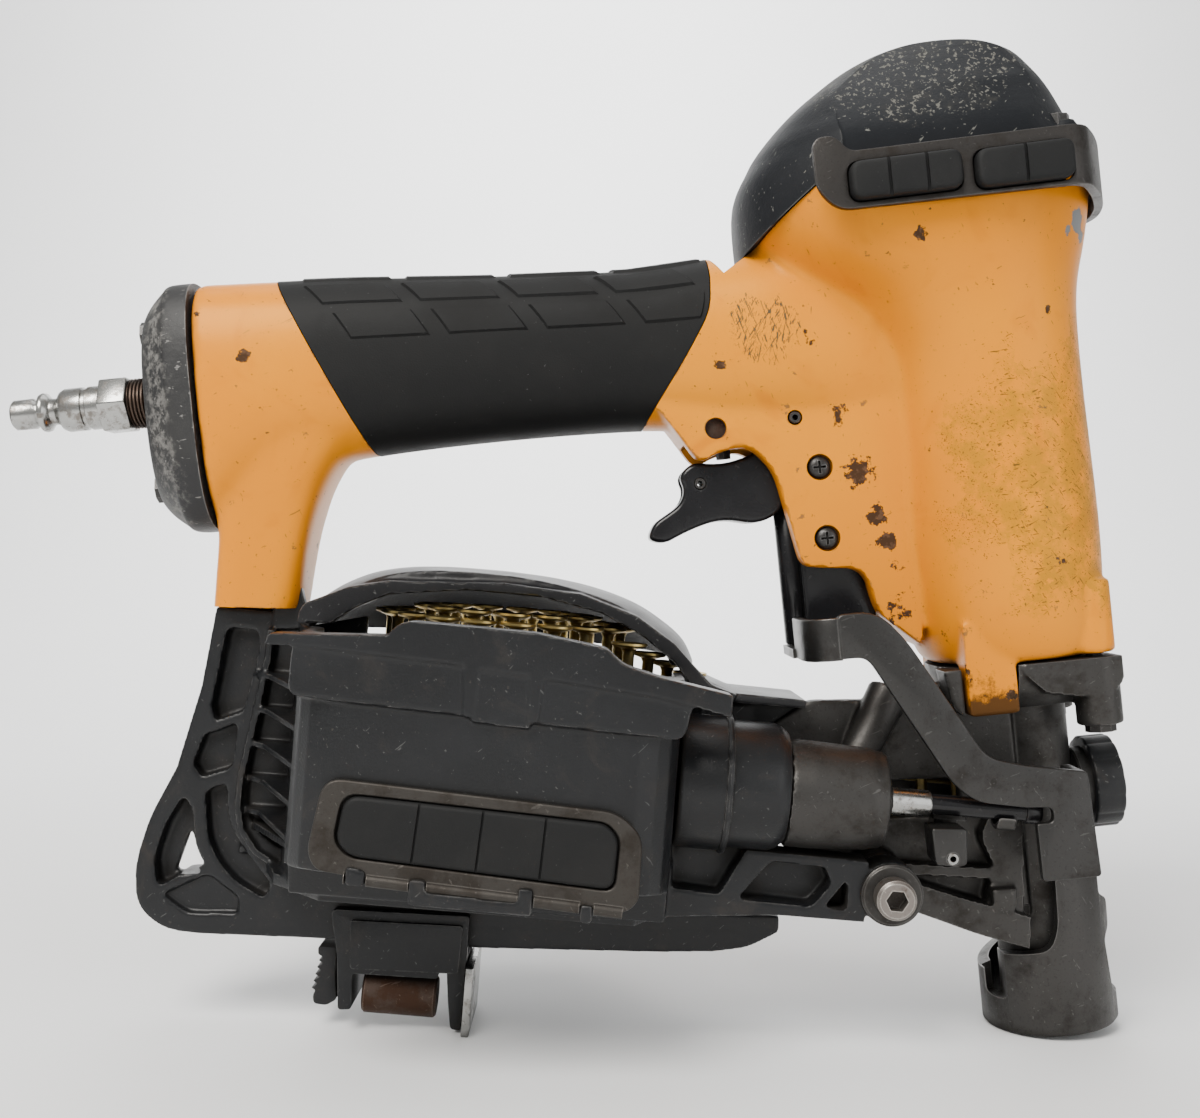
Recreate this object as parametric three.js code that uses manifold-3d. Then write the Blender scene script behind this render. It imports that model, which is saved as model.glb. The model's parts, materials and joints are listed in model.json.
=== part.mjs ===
// A coil roofing nailer, standing on its work contact foot and its shingle guide.
//
// Millimetres. +Z is up, +X points from the handle to the head, and +Y is the side that the magazine opens on.
// Three tilted frames hold the sub-assemblies, each with its own natural axes:
//   head      z runs up the drive axis, and its origin is the centre of the foot's lower face
//   magazine  z runs up the axis of the nail canister, and its origin is below the canister's floor
//   feed      x runs along the feed piston, and its origin is the front face of the feed cylinder
import * as THREE from "three";
import { mergeVertices } from "three/addons/utils/BufferGeometryUtils.js";
import { ParametricGeometry } from "three/addons/geometries/ParametricGeometry.js";
import Module from "manifold-3d";

const wasm = await Module();
wasm.setup();

// ---------------------------------------------------------------- driving dimensions

const DEGREE = Math.PI / 180;
const DRIVE_LEAN = 5.6 * DEGREE; // how far the drive axis leans back when the tool stands
const MAGAZINE_TILT = 4.6 * DEGREE; // nose-down tilt of the canister's floor
const GAP = 0.3; // clearance between pieces that touch
const ROUNDNESS = 0.65; // scales the number of flats that stand for a round surface
const CORNER_STEPS = 2; // straight segments in a rounded corner

const FOOT = { outer: 18, inner: 14.8, height: 20 };
const HEAD_AT = new THREE.Vector3(124.7, 0, FOOT.outer * Math.sin(DRIVE_LEAN));
const MAGAZINE_AT = new THREE.Vector3(-31.9, 0, 32.2);
const FEED_AT = new THREE.Vector3(72.2, -30, 66.4);

const BORE = 19; // radius of the drive cylinder
const SLEEVE = { outer: 21, bottom: 100.4, top: 206 };
const SEAM = { z: 229, backX: -48, backDrop: 18.4, backRun: 27 }; // where the head cap meets the housing
const BAND = { inner: 42.6, outer: 44.8, low: 217.5, high: 232 };
const NAIL = { length: 38, head: 4.75, shank: 1.55, pitch: 9.6 };
const CANISTER = { radius: 56, wall: 2.6, face: 57.5, floor: 8, inside: 12, rim: 76 };
const COVER_HINGE = { y: 34, z: 4.2, radius: 3.4 };
const ARM = { outer: -36, inner: -33.7 }; // the contact arm's plate

// ---------------------------------------------------------------- solids

function solid(geometry) {
  const bare = geometry.index ? geometry.toNonIndexed() : geometry;
  const positions = new THREE.BufferGeometry().setAttribute("position", bare.getAttribute("position"));
  const merged = mergeVertices(positions, 1e-4);
  const index = merged.index.array;
  const triangles = [];
  for (let i = 0; i < index.length; i += 3) {
    const [a, b, c] = [index[i], index[i + 1], index[i + 2]];
    if (a !== b && b !== c && c !== a) triangles.push([a, b, c]);
  }
  const build = (list) =>
    new wasm.Manifold(
      new wasm.Mesh({
        numProp: 3,
        vertProperties: merged.attributes.position.array,
        triVerts: new Uint32Array(list.flat()),
      }),
    );
  const made = build(triangles);
  return made.volume() < 0 ? build(triangles.map(([a, b, c]) => [a, c, b])) : made;
}

function geometryOf(manifold) {
  const mesh = manifold.getMesh();
  const positions = new Float32Array(mesh.numVert * 3);
  for (let i = 0; i < mesh.numVert; i++) {
    positions.set(mesh.vertProperties.subarray(i * mesh.numProp, i * mesh.numProp + 3), i * 3);
  }
  return new THREE.BufferGeometry()
    .setAttribute("position", new THREE.BufferAttribute(positions, 3))
    .setIndex(new THREE.BufferAttribute(new Uint32Array(mesh.triVerts), 1));
}

const join = (...parts) => geometryOf(parts.map(solid).reduce((a, b) => a.add(b)));
const cut = (part, ...tools) => geometryOf(tools.map(solid).reduce((a, b) => a.subtract(b), solid(part)));
const meet = (a, b) => geometryOf(solid(a).intersect(solid(b)));

// A closed outline; each point is [x, y] or [x, y, corner radius].
function outline(points) {
  const shape = new THREE.Shape();
  const at = (i) => new THREE.Vector2(...points[(i + points.length) % points.length].slice(0, 2));
  points.forEach(([x, y, radius], i) => {
    const corner = new THREE.Vector2(x, y);
    const reach = Math.min(radius, 0.48 * corner.distanceTo(at(i - 1)), 0.48 * corner.distanceTo(at(i + 1)));
    const towards = (other) => corner.clone().add(other.sub(corner).setLength(reach));
    const move = (p) => (i === 0 ? shape.moveTo(p.x, p.y) : shape.lineTo(p.x, p.y));
    if (!radius) {
      move(corner);
      return;
    }
    const end = towards(at(i + 1));
    move(towards(at(i - 1)));
    shape.quadraticCurveTo(x, y, end.x, end.y);
  });
  shape.closePath();
  return shape;
}

// An outline in x and z, extruded from y = y0 to y = y1, with holes through it.
function slab(points, y0, y1, holes = []) {
  const made = new THREE.ExtrudeGeometry(outline(points), {
    depth: y1 - y0,
    bevelEnabled: false,
    curveSegments: CORNER_STEPS,
  });
  made.rotateX(Math.PI / 2).translate(0, y1, 0);
  return holes.length ? cut(made, ...holes.map((hole) => slab(hole, y0 - 1, y1 + 1))) : made;
}

// An outline in x and y, extruded from z0 to z1.
function plate(points, z0, z1) {
  return new THREE.ExtrudeGeometry(outline(points), {
    depth: z1 - z0,
    bevelEnabled: false,
    curveSegments: CORNER_STEPS,
  }).translate(0, 0, z0);
}

const block = (x0, x1, y0, y1, z0, z1) =>
  new THREE.BoxGeometry(x1 - x0, y1 - y0, z1 - z0).translate((x0 + x1) / 2, (y0 + y1) / 2, (z0 + z1) / 2);

// How many flats a round surface gets; up to eight, it keeps the number asked for.
const flats = (sides) => (sides <= 8 ? sides : Math.max(8, Math.round(sides * ROUNDNESS)));

// A body of revolution; profile points are [radius, distance along the axis].
function turned(profile, axis = "z", sides = 24) {
  const points = profile.map(([r, h]) => new THREE.Vector2(r, h));
  const made = new THREE.LatheGeometry(points, flats(sides));
  if (axis === "z") made.rotateX(Math.PI / 2);
  if (axis === "x") made.rotateZ(-Math.PI / 2);
  return made;
}

const disc = (radius, low, high, axis = "z", sides = 24) =>
  turned([[0, low], [radius, low], [radius, high], [0, high]], axis, sides);

// A body through superellipse sections across one axis: [position, centre 1, centre 2, half 1, half 2, power].
function loft(axis, sections, sides = 24) {
  const rows = [sections[0], ...sections, sections.at(-1)];
  const last = rows.length - 1;
  const bend = (value, power) => Math.sign(value) * Math.abs(value) ** (2 / power);
  const surface = (u, v, target) => {
    const row = Math.round(v * last);
    const [at, c1, c2, half1, half2, power] = rows[row];
    const size = row === 0 || row === last ? 0 : 1;
    const angle = u === 1 ? 0 : u * 2 * Math.PI;
    const p = c1 + size * half1 * bend(Math.cos(angle), power);
    const q = c2 + size * half2 * bend(Math.sin(angle), power);
    if (axis === "z") target.set(p, q, at);
    else if (axis === "x") target.set(at, p, q);
    else target.set(p, at, q);
  };
  return new ParametricGeometry(surface, flats(sides), last);
}

class Helix extends THREE.Curve {
  constructor(radius, z0, z1, turns) {
    super();
    Object.assign(this, { radius, z0, z1, turns });
  }
  getPoint(t, target = new THREE.Vector3()) {
    const angle = t * this.turns * 2 * Math.PI;
    const z = this.z0 + t * (this.z1 - this.z0);
    return target.set(this.radius * Math.cos(angle), this.radius * Math.sin(angle), z);
  }
}

// A compression spring round the z axis, reaching from z0 to z1.
function spring(radius, wire, z0, z1, turns) {
  const section = new THREE.Shape().absarc(0, 0, wire, 0, 2 * Math.PI);
  return new THREE.ExtrudeGeometry(section, {
    steps: Math.round(turns * 8),
    curveSegments: 2,
    bevelEnabled: false,
    extrudePath: new Helix(radius, z0 + wire, z1 - wire, turns),
  });
}

// A round bar between two points.
function bar(radius, from, to, sides = 12) {
  const [a, b] = [new THREE.Vector3(...from), new THREE.Vector3(...to)];
  const along = b.clone().sub(a);
  const turn = new THREE.Quaternion().setFromUnitVectors(new THREE.Vector3(0, 1, 0), along.clone().normalize());
  const middle = a.add(b).multiplyScalar(0.5);
  return new THREE.CylinderGeometry(radius, radius, along.length(), flats(sides))
    .applyQuaternion(turn)
    .translate(middle.x, middle.y, middle.z);
}

// ---------------------------------------------------------------- materials

const finish = (color, roughness, metalness) => new THREE.MeshStandardMaterial({ color, roughness, metalness });
const PAINT = finish(0xd9922e, 0.45, 0.1);
const BLACK = finish(0x1d1f22, 0.55, 0);
const RUBBER = finish(0x232527, 0.85, 0);
const CAST = finish(0x2b2a29, 0.6, 0.6);
const STEEL = finish(0x5b5753, 0.45, 0.9);
const BRIGHT = finish(0xb9b9b6, 0.25, 1);
const BRASS = finish(0xb69a55, 0.35, 1);

// ---------------------------------------------------------------- the tree of groups

const tool = new THREE.Group();

function group(name, parent, at = [0, 0, 0], tilt = 0) {
  const made = new THREE.Group();
  made.name = name;
  made.position.set(...(at.isVector3 ? at.toArray() : at));
  made.rotation.y = tilt;
  parent.add(made);
  return made;
}

const head = group("head", tool, HEAD_AT, -DRIVE_LEAN);
const magazine = group("magazine_frame", tool, MAGAZINE_AT, MAGAZINE_TILT);
const feed = group("feed", tool, FEED_AT, MAGAZINE_TILT);

// The geometry, drawn in one frame, as another frame sees it.
function seenFrom(frame, from, geometry) {
  tool.updateMatrixWorld(true);
  const change = frame.matrixWorld.clone().invert().multiply(from.matrixWorld);
  return geometry.clone().applyMatrix4(change);
}

// Adds a mesh to a group that stands at a pivot; the geometry is drawn in the group's parent frame.
function piece(parent, name, geometry, material) {
  const mesh = new THREE.Mesh(geometry, material);
  mesh.name = name;
  if (parent !== head && parent !== magazine && parent !== feed) {
    mesh.position.copy(parent.position).negate();
    for (let up = parent.parent; up !== head && up !== magazine && up !== feed; up = up.parent) {
      mesh.position.sub(up.position);
    }
  }
  parent.add(mesh);
  return mesh;
}

// ---------------------------------------------------------------- housing, grip, end cap, air plug (head frame)

const HANDLE = [
  [-214.3, 0, 189.8, 20, 33.6, 3],
  [-207, 0, 191.5, 19.5, 31.5, 2.8],
  [-195, 0, 195.5, 19, 27, 2.6],
  [-172, 0, 196.6, 18.2, 24.6, 2.5],
  [-135, 0, 195.6, 17.6, 22.6, 2.5],
  [-97, 0, 194, 17.6, 22, 2.5],
  [-75, 0, 193, 19, 24, 2.5],
  [-45, 0, 192, 22, 27, 2.5],
];
const thinner = (sections, by) => sections.map(([x, cy, cz, b, c, n]) => [x, cy, cz, b - by, c - by, n]);

// The grip's slanted ends, as seen from the side, grown by a clearance.
const gripZone = (grow) =>
  slab(
    [
      [-194.5 - grow, 228],
      [-166 - grow, 164],
      [-103 + grow, 164],
      [-82 + grow, 194, 6],
      [-73 + grow, 212],
      [-72 + grow, 228],
    ],
    -30,
    30,
  );

function housingGeometry() {
  const barrel = loft(
    "z",
    [
      [100.3, -1, 0, 23.5, 26, 2.3],
      [112, -2.6, 0, 25.8, 29.5, 2.3],
      [135, -2.9, 0, 26.8, 31.5, 2.3],
      [175, -3.1, 0, 26.1, 32, 2.3],
      [196, -7.4, 0, 31.1, 34.5, 2.3],
      [210, -14.5, 0, 41.5, 38, 2.4],
      [221, -17.6, 0, 46.8, 40.4, 2.4],
      [SEAM.z, -18, 0, 48, 41, 2.4],
    ],
    24,
  );
  const aboveSeam = slab(
    [
      [SEAM.backX, SEAM.z],
      [SEAM.backX - SEAM.backRun, SEAM.z - SEAM.backDrop],
      [-90, 236],
      [SEAM.backX, 236],
    ],
    -60,
    60,
  );
  const cheeks = slab(
    [
      [-104, 176],
      [-90, 171.5, 5],
      [-82.8, 160.6, 2],
      [-77, 163.6, 3],
      [-69, 164.2, 3],
      [-63, 157, 4],
      [-60, 141],
      [-58.1, 131, 3],
      [-41.8, 128.4, 4],
      [-39, 116],
      [-28, 106],
      [-24, 214],
      [-66, 214],
    ],
    -15,
    15,
  );
  const screwBosses = NOSE_SCREWS.map(([x, y]) => disc(6, 100.3, 122, "z", 14).translate(x, y, 0));
  const leg = loft(
    "z",
    [
      [131, -206.6, 0, 11.8, 13.2, 5],
      [145, -203.6, 0, 12.3, 13.6, 5],
      [156, -201, 0, 13.2, 14, 5],
      [167, -198.5, 0, 16.2, 15, 4],
      [180, -193, 0, 21.5, 16, 3.5],
    ],
    24,
  );
  const legEnd = slab([[-225, 124], [-190, 124], [-190, 132], [-225, 136.4]], -20, 20);
  const tongues = join(
    block(-20.5, -6.5, -25, -17, 87, 104),
    barrel,
    block(-20.5, -6.5, 17, 25, 87, 104),
  );
  const outside = join(tongues, loft("x", HANDLE, 20), cheeks, leg, ...screwBosses);
  const chamber = loft(
    "x",
    [
      [-216, 0, 190, 15.5, 28, 2.6],
      [-195, 0, 196, 14, 21.5, 2.6],
      [-172, 0, 196.6, 13.4, 19.6, 2.6],
      [-97, 0, 195, 12.8, 16.8, 2.6],
      [-12, 0, 196, 12.5, 15, 2.6],
    ],
    20,
  );
  const cylinderSpace = turned(
    [[0, 98], [21.4, 98], [21.4, 205.8], [24.4, 205.8], [24.4, 240], [0, 240]],
    "z",
    24,
  );
  const triggerSlot = slab(
    [
      [-92, 150],
      [-92, 163],
      [-83, 168],
      [-66, 168],
      [-62, 178.5],
      [-46, 178.5],
      [-40.8, 166],
      [-40.8, 120],
      [-70, 120],
    ],
    -8.2,
    8.2,
  );
  const valveBore = disc(8.3, 160, 184, "z", 20).translate(-75, 0, 0);
  const gripSeat = cut(
    meet(loft("x", thinner(HANDLE, -1), 20), gripZone(GAP)),
    loft("x", thinner(HANDLE, 2.4), 20),
  );
  const pinHoles = [
    bar(1.9, [-56.3, -20, 170.4], [-56.3, 20, 170.4], 10),
    bar(2.1, [-51, -20, 156.6], [-51, -8, 156.6], 10),
    bar(2.1, [-50.8, -20, 137.5], [-50.8, -8, 137.5], 10),
    bar(3.4, [-51, -20, 156.6], [-51, -12.6, 156.6], 12),
    bar(3.4, [-50.8, -20, 137.5], [-50.8, -12.6, 137.5], 12),
  ];
  const noseScrewHoles = NOSE_SCREWS.map(([x, y]) => disc(2.3, 99, 114, "z", 10).translate(x, y, 0));
  const tonguePocket = seenFrom(head, magazine, block(-77, -64.4, -5.4, 5.4, 70, 92));
  const legPinHole = seenFrom(head, magazine, bar(1.75, [-70.7, -30, 84], [-70.7, 30, 84], 12));
  const capScrewHoles = CAP_SCREWS.map(([x, y]) => disc(2.3, 214, 232, "z", 10).translate(x, y, 0));
  return cut(
    outside,
    aboveSeam,
    legEnd,
    chamber,
    cylinderSpace,
    triggerSlot,
    valveBore,
    gripSeat,
    ...pinHoles,
    ...capScrewHoles,
    ...noseScrewHoles,
    tonguePocket,
    legPinHole,
  );
}

const NOSE_SCREWS = [
  [15, -20],
  [15, 20],
];
const CAP_SCREWS = [
  [-46, -25.5],
  [16, -25.5],
  [16, 25.5],
  [-46, 25.5],
];

function headCapGeometry() {
  const dome = loft(
    "z",
    [
      [206, -18, 0, 48, 41, 2.4],
      [SEAM.z, -18, 0, 48, 41, 2.4],
      [239.3, -17.5, 0, 44, 39.3, 2.3],
      [245.8, -16, 0, 40.5, 36.5, 2.2],
      [252.4, -14, 0, 35.5, 33, 2.2],
      [258, -11.8, 0, 30.2, 28.6, 2.1],
      [262.7, -9.9, 0, 24.6, 23.4, 2.1],
      [266.4, -8.7, 0, 17.3, 16.5, 2],
      [268.4, -8.7, 0, 7.5, 8, 2],
    ],
    24,
  );
  const belowSeam = slab(
    [
      [60, SEAM.z + GAP],
      [SEAM.backX, SEAM.z + GAP],
      [SEAM.backX - SEAM.backRun, SEAM.z + GAP - SEAM.backDrop],
      [-90, 190],
      [60, 190],
    ],
    -60,
    60,
  );
  const inside = cut(
    loft(
      "z",
      [
        [206, -18, 0, 43, 34.5, 2.4],
        [238, -17.2, 0, 39.5, 34, 2.3],
        [246, -15.6, 0, 35, 31, 2.2],
        [255, -12.6, 0, 26, 24, 2.1],
      ],
      20,
    ),
    disc(17, 238, 258),
    ...CAP_SCREWS.map(([x, y]) => disc(6, 200, 262, "z", 12).translate(x, y, 0)),
  );
  const exhaust = [-2, -1, 0, 1, 2].map((i) => block(22, 50, i * 6 - 1.5, i * 6 + 1.5, 236, 245));
  const pockets = CAP_SCREWS.map(([x, y]) =>
    join(disc(5, 236, 270, "z", 12), disc(2.4, 220, 238, "z", 10)).translate(x, y, 0),
  );
  return cut(dome, belowSeam, inside, ...exhaust, ...pockets);
}

// A socket-head cap screw, driven from above, with the underside of its head at z = 0.
function socketScrew(radius, headRadius, headHeight, length) {
  const head = [[headRadius, 0], [headRadius, headHeight], [0, headHeight]];
  const body = turned([[0, -length], [radius, -length], [radius, 0], ...head], "z", 14);
  return cut(body, disc(headRadius * 0.52, headHeight * 0.4, headHeight + 1, "z", 6));
}

function addHousing() {
  piece(head, "housing", housingGeometry(), PAINT);
  const grip = cut(meet(loft("x", HANDLE, 20), gripZone(0)), loft("x", thinner(HANDLE, 2.1), 20));
  piece(head, "handle_grip", grip, RUBBER);

  const endCap = cut(
    loft(
      "x",
      [
        [-232.4, 0, 188, 13, 22, 2.6],
        [-231, 0, 188, 16, 27, 2.6],
        [-225, 0, 189.5, 20, 32.5, 3],
        [-218, 0, 189.8, 20.6, 34, 3],
        [-214.6, 0, 189.8, 20.6, 34, 3],
      ],
      24,
    ),
    disc(5.4, -240, -210, "x").translate(0, 0, 193.2),
    loft("x", [[-226, 0, 190, 14, 27, 2.6], [-210, 0, 190, 14, 27, 2.6]], 16),
    disc(4.2, -240, -228, "x", 12).translate(0, 0, 211.5),
    disc(4.2, -240, -228, "x", 12).translate(0, 0, 169),
    disc(2.3, -240, -210, "x", 10).translate(0, 0, 211.5),
    disc(2.3, -240, -210, "x", 10).translate(0, 0, 169),
  );
  piece(head, "end_cap", endCap, BLACK);
  [["end_cap_screw_upper", 211.5], ["end_cap_screw_lower", 169]].forEach(([name, z]) => {
    const screw = socketScrew(2, 3.9, 3.4, 8).rotateY(-Math.PI / 2).translate(-228.3, 0, z);
    piece(head, name, screw, STEEL);
  });

  const plug = turned(
    [
      [2.6, -269.4], [3.7, -269.4], [4.2, -268.6], [4.2, -263.4], [3.5, -262.6], [5.4, -261.4], [5.4, -259.6],
      [3.6, -258.4], [3.6, -256.6], [5.4, -255.4], [6, -254.6], [6, -244.2], [6.6, -244.1], [6.6, -236.3],
      [6.8, -236.2], [6.8, -232.7], [5.1, -232.6], [5.1, -227], [2.6, -227], [2.6, -269.4],
    ],
    "x",
    14,
  );
  const hex = cut(
    new THREE.CylinderGeometry(8.25, 8.25, 7.8, 6).rotateZ(Math.PI / 2).translate(-240.2, 0, 0),
    disc(2.6, -250, -230, "x", 20),
  );
  piece(head, "air_plug", join(plug, hex).translate(0, 0, 193.2), BRIGHT);

  piece(head, "head_cap", headCapGeometry(), BLACK);
  CAP_SCREWS.forEach(([x, y], i) => {
    const screw = socketScrew(2.1, 4.2, 4, 17).translate(x, y, 236.3);
    piece(head, `cap_screw_${i + 1}`, screw, STEEL);
  });
}

// ---------------------------------------------------------------- skid band and its rubber pads (head frame)

// A plan-view strip that runs forward on the near side, round the front of the head and back on the far side.
function bandPlan(y, inset, rear) {
  const bend = [
    [17 - 0.6 * inset, y, 5],
    [25 - 0.95 * inset, y * 0.68, 8],
    [31.5 - inset, y * 0.31, 8],
  ];
  const mirroredBend = bend.map(([x, side, radius]) => [x, -side, radius]);
  return [[rear, -y], ...mirroredBend, [34.6 - inset, 0], ...bend.reverse(), [rear, y]];
}

const PAD_WINDOWS = [
  [-42.4, -13.8],
  [-11.2, 14],
];

function addSkidBand() {
  const strip = cut(
    plate(bandPlan(BAND.outer, 0, -50), BAND.low, BAND.high),
    plate(bandPlan(BAND.inner, BAND.outer - BAND.inner, -60), BAND.low - 1, BAND.high + 1),
  );
  const ears = [-1, 1].map((side) => {
    const [y0, y1] = side < 0 ? [-BAND.outer, -BAND.inner] : [BAND.inner, BAND.outer];
    return slab([[-50, 226], [-41, 226], [-41, 231.5, 2], [-44, 236, 1.5], [-50, 235, 2]], y0, y1);
  });
  const windowShape = (x0, x1, grow) =>
    [[x0 - grow, 219 - grow, 2.5], [x1 + grow, 219.6 - grow, 2.5], [x1 + grow, 229.2 + grow, 2.5], [x0 - grow, 228.4 + grow, 2.5]];
  const windows = PAD_WINDOWS.map(([x0, x1]) => slab(windowShape(x0, x1, GAP), -60, 60));
  piece(head, "skid_band", cut(join(strip, ...ears), ...windows), STEEL);
  for (const side of [-1, 1]) {
    const [web0, web1] = side < 0 ? [-42.3, -41.35] : [41.35, 42.3];
    const [land0, land1] = side < 0 ? [-47.6, -42] : [42, 47.6];
    const web = slab([[-45, 218.2], [10, 218.2], [10, 230.4], [-45, 230.4]], web0, web1);
    const lands = PAD_WINDOWS.map(([x0, x1]) => slab(windowShape(x0, x1, 0), land0, land1));
    piece(head, side < 0 ? "skid_pad_near" : "skid_pad_far", join(web, ...lands), RUBBER);
  }
}

// ---------------------------------------------------------------- drive train (head frame)

const STEM_X = -75;
const PUSHER_X = -59.4;

function addDriveTrain() {
  const sleeve = turned(
    [
      [BORE, SLEEVE.bottom],
      [SLEEVE.outer, SLEEVE.bottom],
      [SLEEVE.outer, SLEEVE.top],
      [BORE, SLEEVE.top],
      [BORE, SLEEVE.bottom],
    ],
    "z",
    24,
  );
  piece(head, "cylinder_sleeve", sleeve, BRIGHT);
  const bumper = turned(
    [[6, 100.5], [18.6, 100.5], [18.6, 108], [15, 113], [8, 113], [6, 111], [6, 100.5]],
    "z",
    24,
  );
  piece(head, "piston_bumper", bumper, RUBBER);

  const driver = group("driver", head, [0, 0, 190]);
  const pistonShape = turned(
    [[3.3, 187], [8, 187], [12, 192], [18.7, 194], [18.7, 203], [12, 203], [10, 200], [3.3, 200], [3.3, 187]],
    "z",
    24,
  );
  piece(driver, "drive_piston", pistonShape, CAST);
  const blade = join(
    block(-2.6, 2.6, -2.6, 2.6, 79.5, 186.6),
    disc(3, 186, 200.5, "z", 12),
    disc(6, 200.3, 202.2, "z", 12),
  );
  piece(driver, "driver_blade", blade, BRIGHT);

  const valve = group("head_valve", head, [0, 0, 215]);
  const ring = turned(
    [
      [10, 206.4],
      [23.9, 206.4],
      [23.9, 212],
      [21.5, 213],
      [21.5, 218],
      [23.9, 219],
      [23.9, 226],
      [18, 226],
      [18, 224],
      [10, 224],
      [10, 206.4],
    ],
    "z",
    20,
  );
  piece(valve, "head_valve_ring", ring, BLACK);
  piece(head, "head_valve_spring", spring(14, 1.1, 224.4, 233.6, 3), STEEL);
}

// ---------------------------------------------------------------- trigger, lever, valve and trip guide (head frame)

const TRIGGER_PIN = [-56.3, 0, 170.4];
const LEVER_PIN = [-82.7, 0, 155.6];

function addTriggerGroup() {
  piece(head, "trigger_pin", bar(1.6, [-56.3, -14.6, 170.4], [-56.3, 14.6, 170.4], 12), STEEL);

  const trigger = group("trigger", head, TRIGGER_PIN);
  const profile = [
    [-87.6, 158.6, 2],
    [-84.5, 161.2, 2],
    [-76, 160.6],
    [-66.5, 162.5, 3],
    [-61, 173, 2],
    [-56, 176, 4],
    [-51.2, 172, 3],
    [-54.5, 161, 4],
    [-60.4, 153, 3],
    [-61, 147, 3],
    [-67.8, 143.6, 4],
    [-78, 146, 6],
    [-87, 143.8, 3],
    [-94, 141, 1.5],
    [-97.6, 142.4, 2],
    [-95.5, 146, 1.5],
    [-88.6, 150.4, 4],
    [-85.8, 154, 2],
  ];
  const body = cut(
    slab(profile, -7.6, 7.6),
    slab(
      [[-90, 150.6], [-85.4, 150.6], [-70, 149.6], [-56, 157], [-56, 164], [-66, 170], [-90, 170]],
      -4.3,
      4.3,
    ),
    bar(1.75, [-56.3, -9, 170.4], [-56.3, 9, 170.4], 12),
    bar(1.75, [LEVER_PIN[0], -9, LEVER_PIN[2]], [LEVER_PIN[0], 9, LEVER_PIN[2]], 12),
    block(-66.5, -46, -4.3, 4.3, 140, 166),
  );
  piece(trigger, "trigger_body", body, BLACK);
  const leverPin = bar(1.6, [LEVER_PIN[0], -8, LEVER_PIN[2]], [LEVER_PIN[0], 8, LEVER_PIN[2]], 12);
  piece(trigger, "lever_pin", leverPin, STEEL);

  const lever = group("trip_lever", trigger, [LEVER_PIN[0] - TRIGGER_PIN[0], 0, LEVER_PIN[2] - TRIGGER_PIN[2]]);
  const leverShape = cut(
    slab(
      [
        [-85.2, 153.4, 2],
        [-80, 153.4, 2],
        [-70, 155.2],
        [-59.4, 153.9, 0.8],
        [-59.4, 156, 0.8],
        [-70, 157.4],
        [-80, 157.9, 2],
        [-85.2, 157.9, 2],
      ],
      -3.6,
      3.6,
    ),
    bar(1.75, [LEVER_PIN[0], -9, LEVER_PIN[2]], [LEVER_PIN[0], 9, LEVER_PIN[2]], 12),
  );
  piece(lever, "trip_lever_plate", leverShape, STEEL);

  const valveBody = turned(
    [[0, 176], [2.4, 176], [2.4, 167.2], [8, 167.2], [8, 170], [7, 170.6], [7, 171.4], [8, 172], [8, 182], [0, 182]],
    "z",
    20,
  ).translate(STEM_X, 0, 0);
  piece(head, "trigger_valve_body", valveBody, BLACK);
  const stem = group("valve_stem_slide", head, [STEM_X, 0, 165]);
  piece(stem, "valve_stem", disc(2, 162, 172.4, "z", 12).translate(STEM_X, 0, 0), BRIGHT);

  const guide = cut(
    slab(
      [[-57.5, 119.8], [-41.4, 119.8], [-41.4, 162, 2], [-54.6, 162, 2], [-56, 158], [-57.5, 147]],
      -7.8,
      7.8,
    ),
    disc(3.8, 100, 170, "z", 14).translate(PUSHER_X, 0, 0),
    bar(1.6, [-51, -9, 156.6], [-51, 2, 156.6], 10),
    bar(1.6, [-50.8, -9, 137.5], [-50.8, 2, 137.5], 10),
    bar(6.6, [TRIGGER_PIN[0], -9, TRIGGER_PIN[2]], [TRIGGER_PIN[0], 9, TRIGGER_PIN[2]], 16),
  );
  piece(head, "trip_guide", guide, BLACK);
  [["trip_guide_screw_upper", -51, 156.6], ["trip_guide_screw_lower", -50.8, 137.5]].forEach(([name, x, z]) => {
    const screw = join(bar(1.4, [x, -13.2, z], [x, 0, z], 10), bar(3, [x, -14.8, z], [x, -12.9, z], 14));
    const slots = [
      block(x - 1.6, x + 1.6, -16, -13.8, z - 0.3, z + 0.3),
      block(x - 0.3, x + 0.3, -16, -13.8, z - 1.6, z + 1.6),
    ];
    piece(head, name, cut(screw, ...slots), STEEL);
  });
}

// ---------------------------------------------------------------- nose casting (head frame)

const DOOR_PIN = [-13.5, 11.5];
const BOLT = [-47.5, 46.7]; // the screw that holds the magazine to the nose

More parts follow.
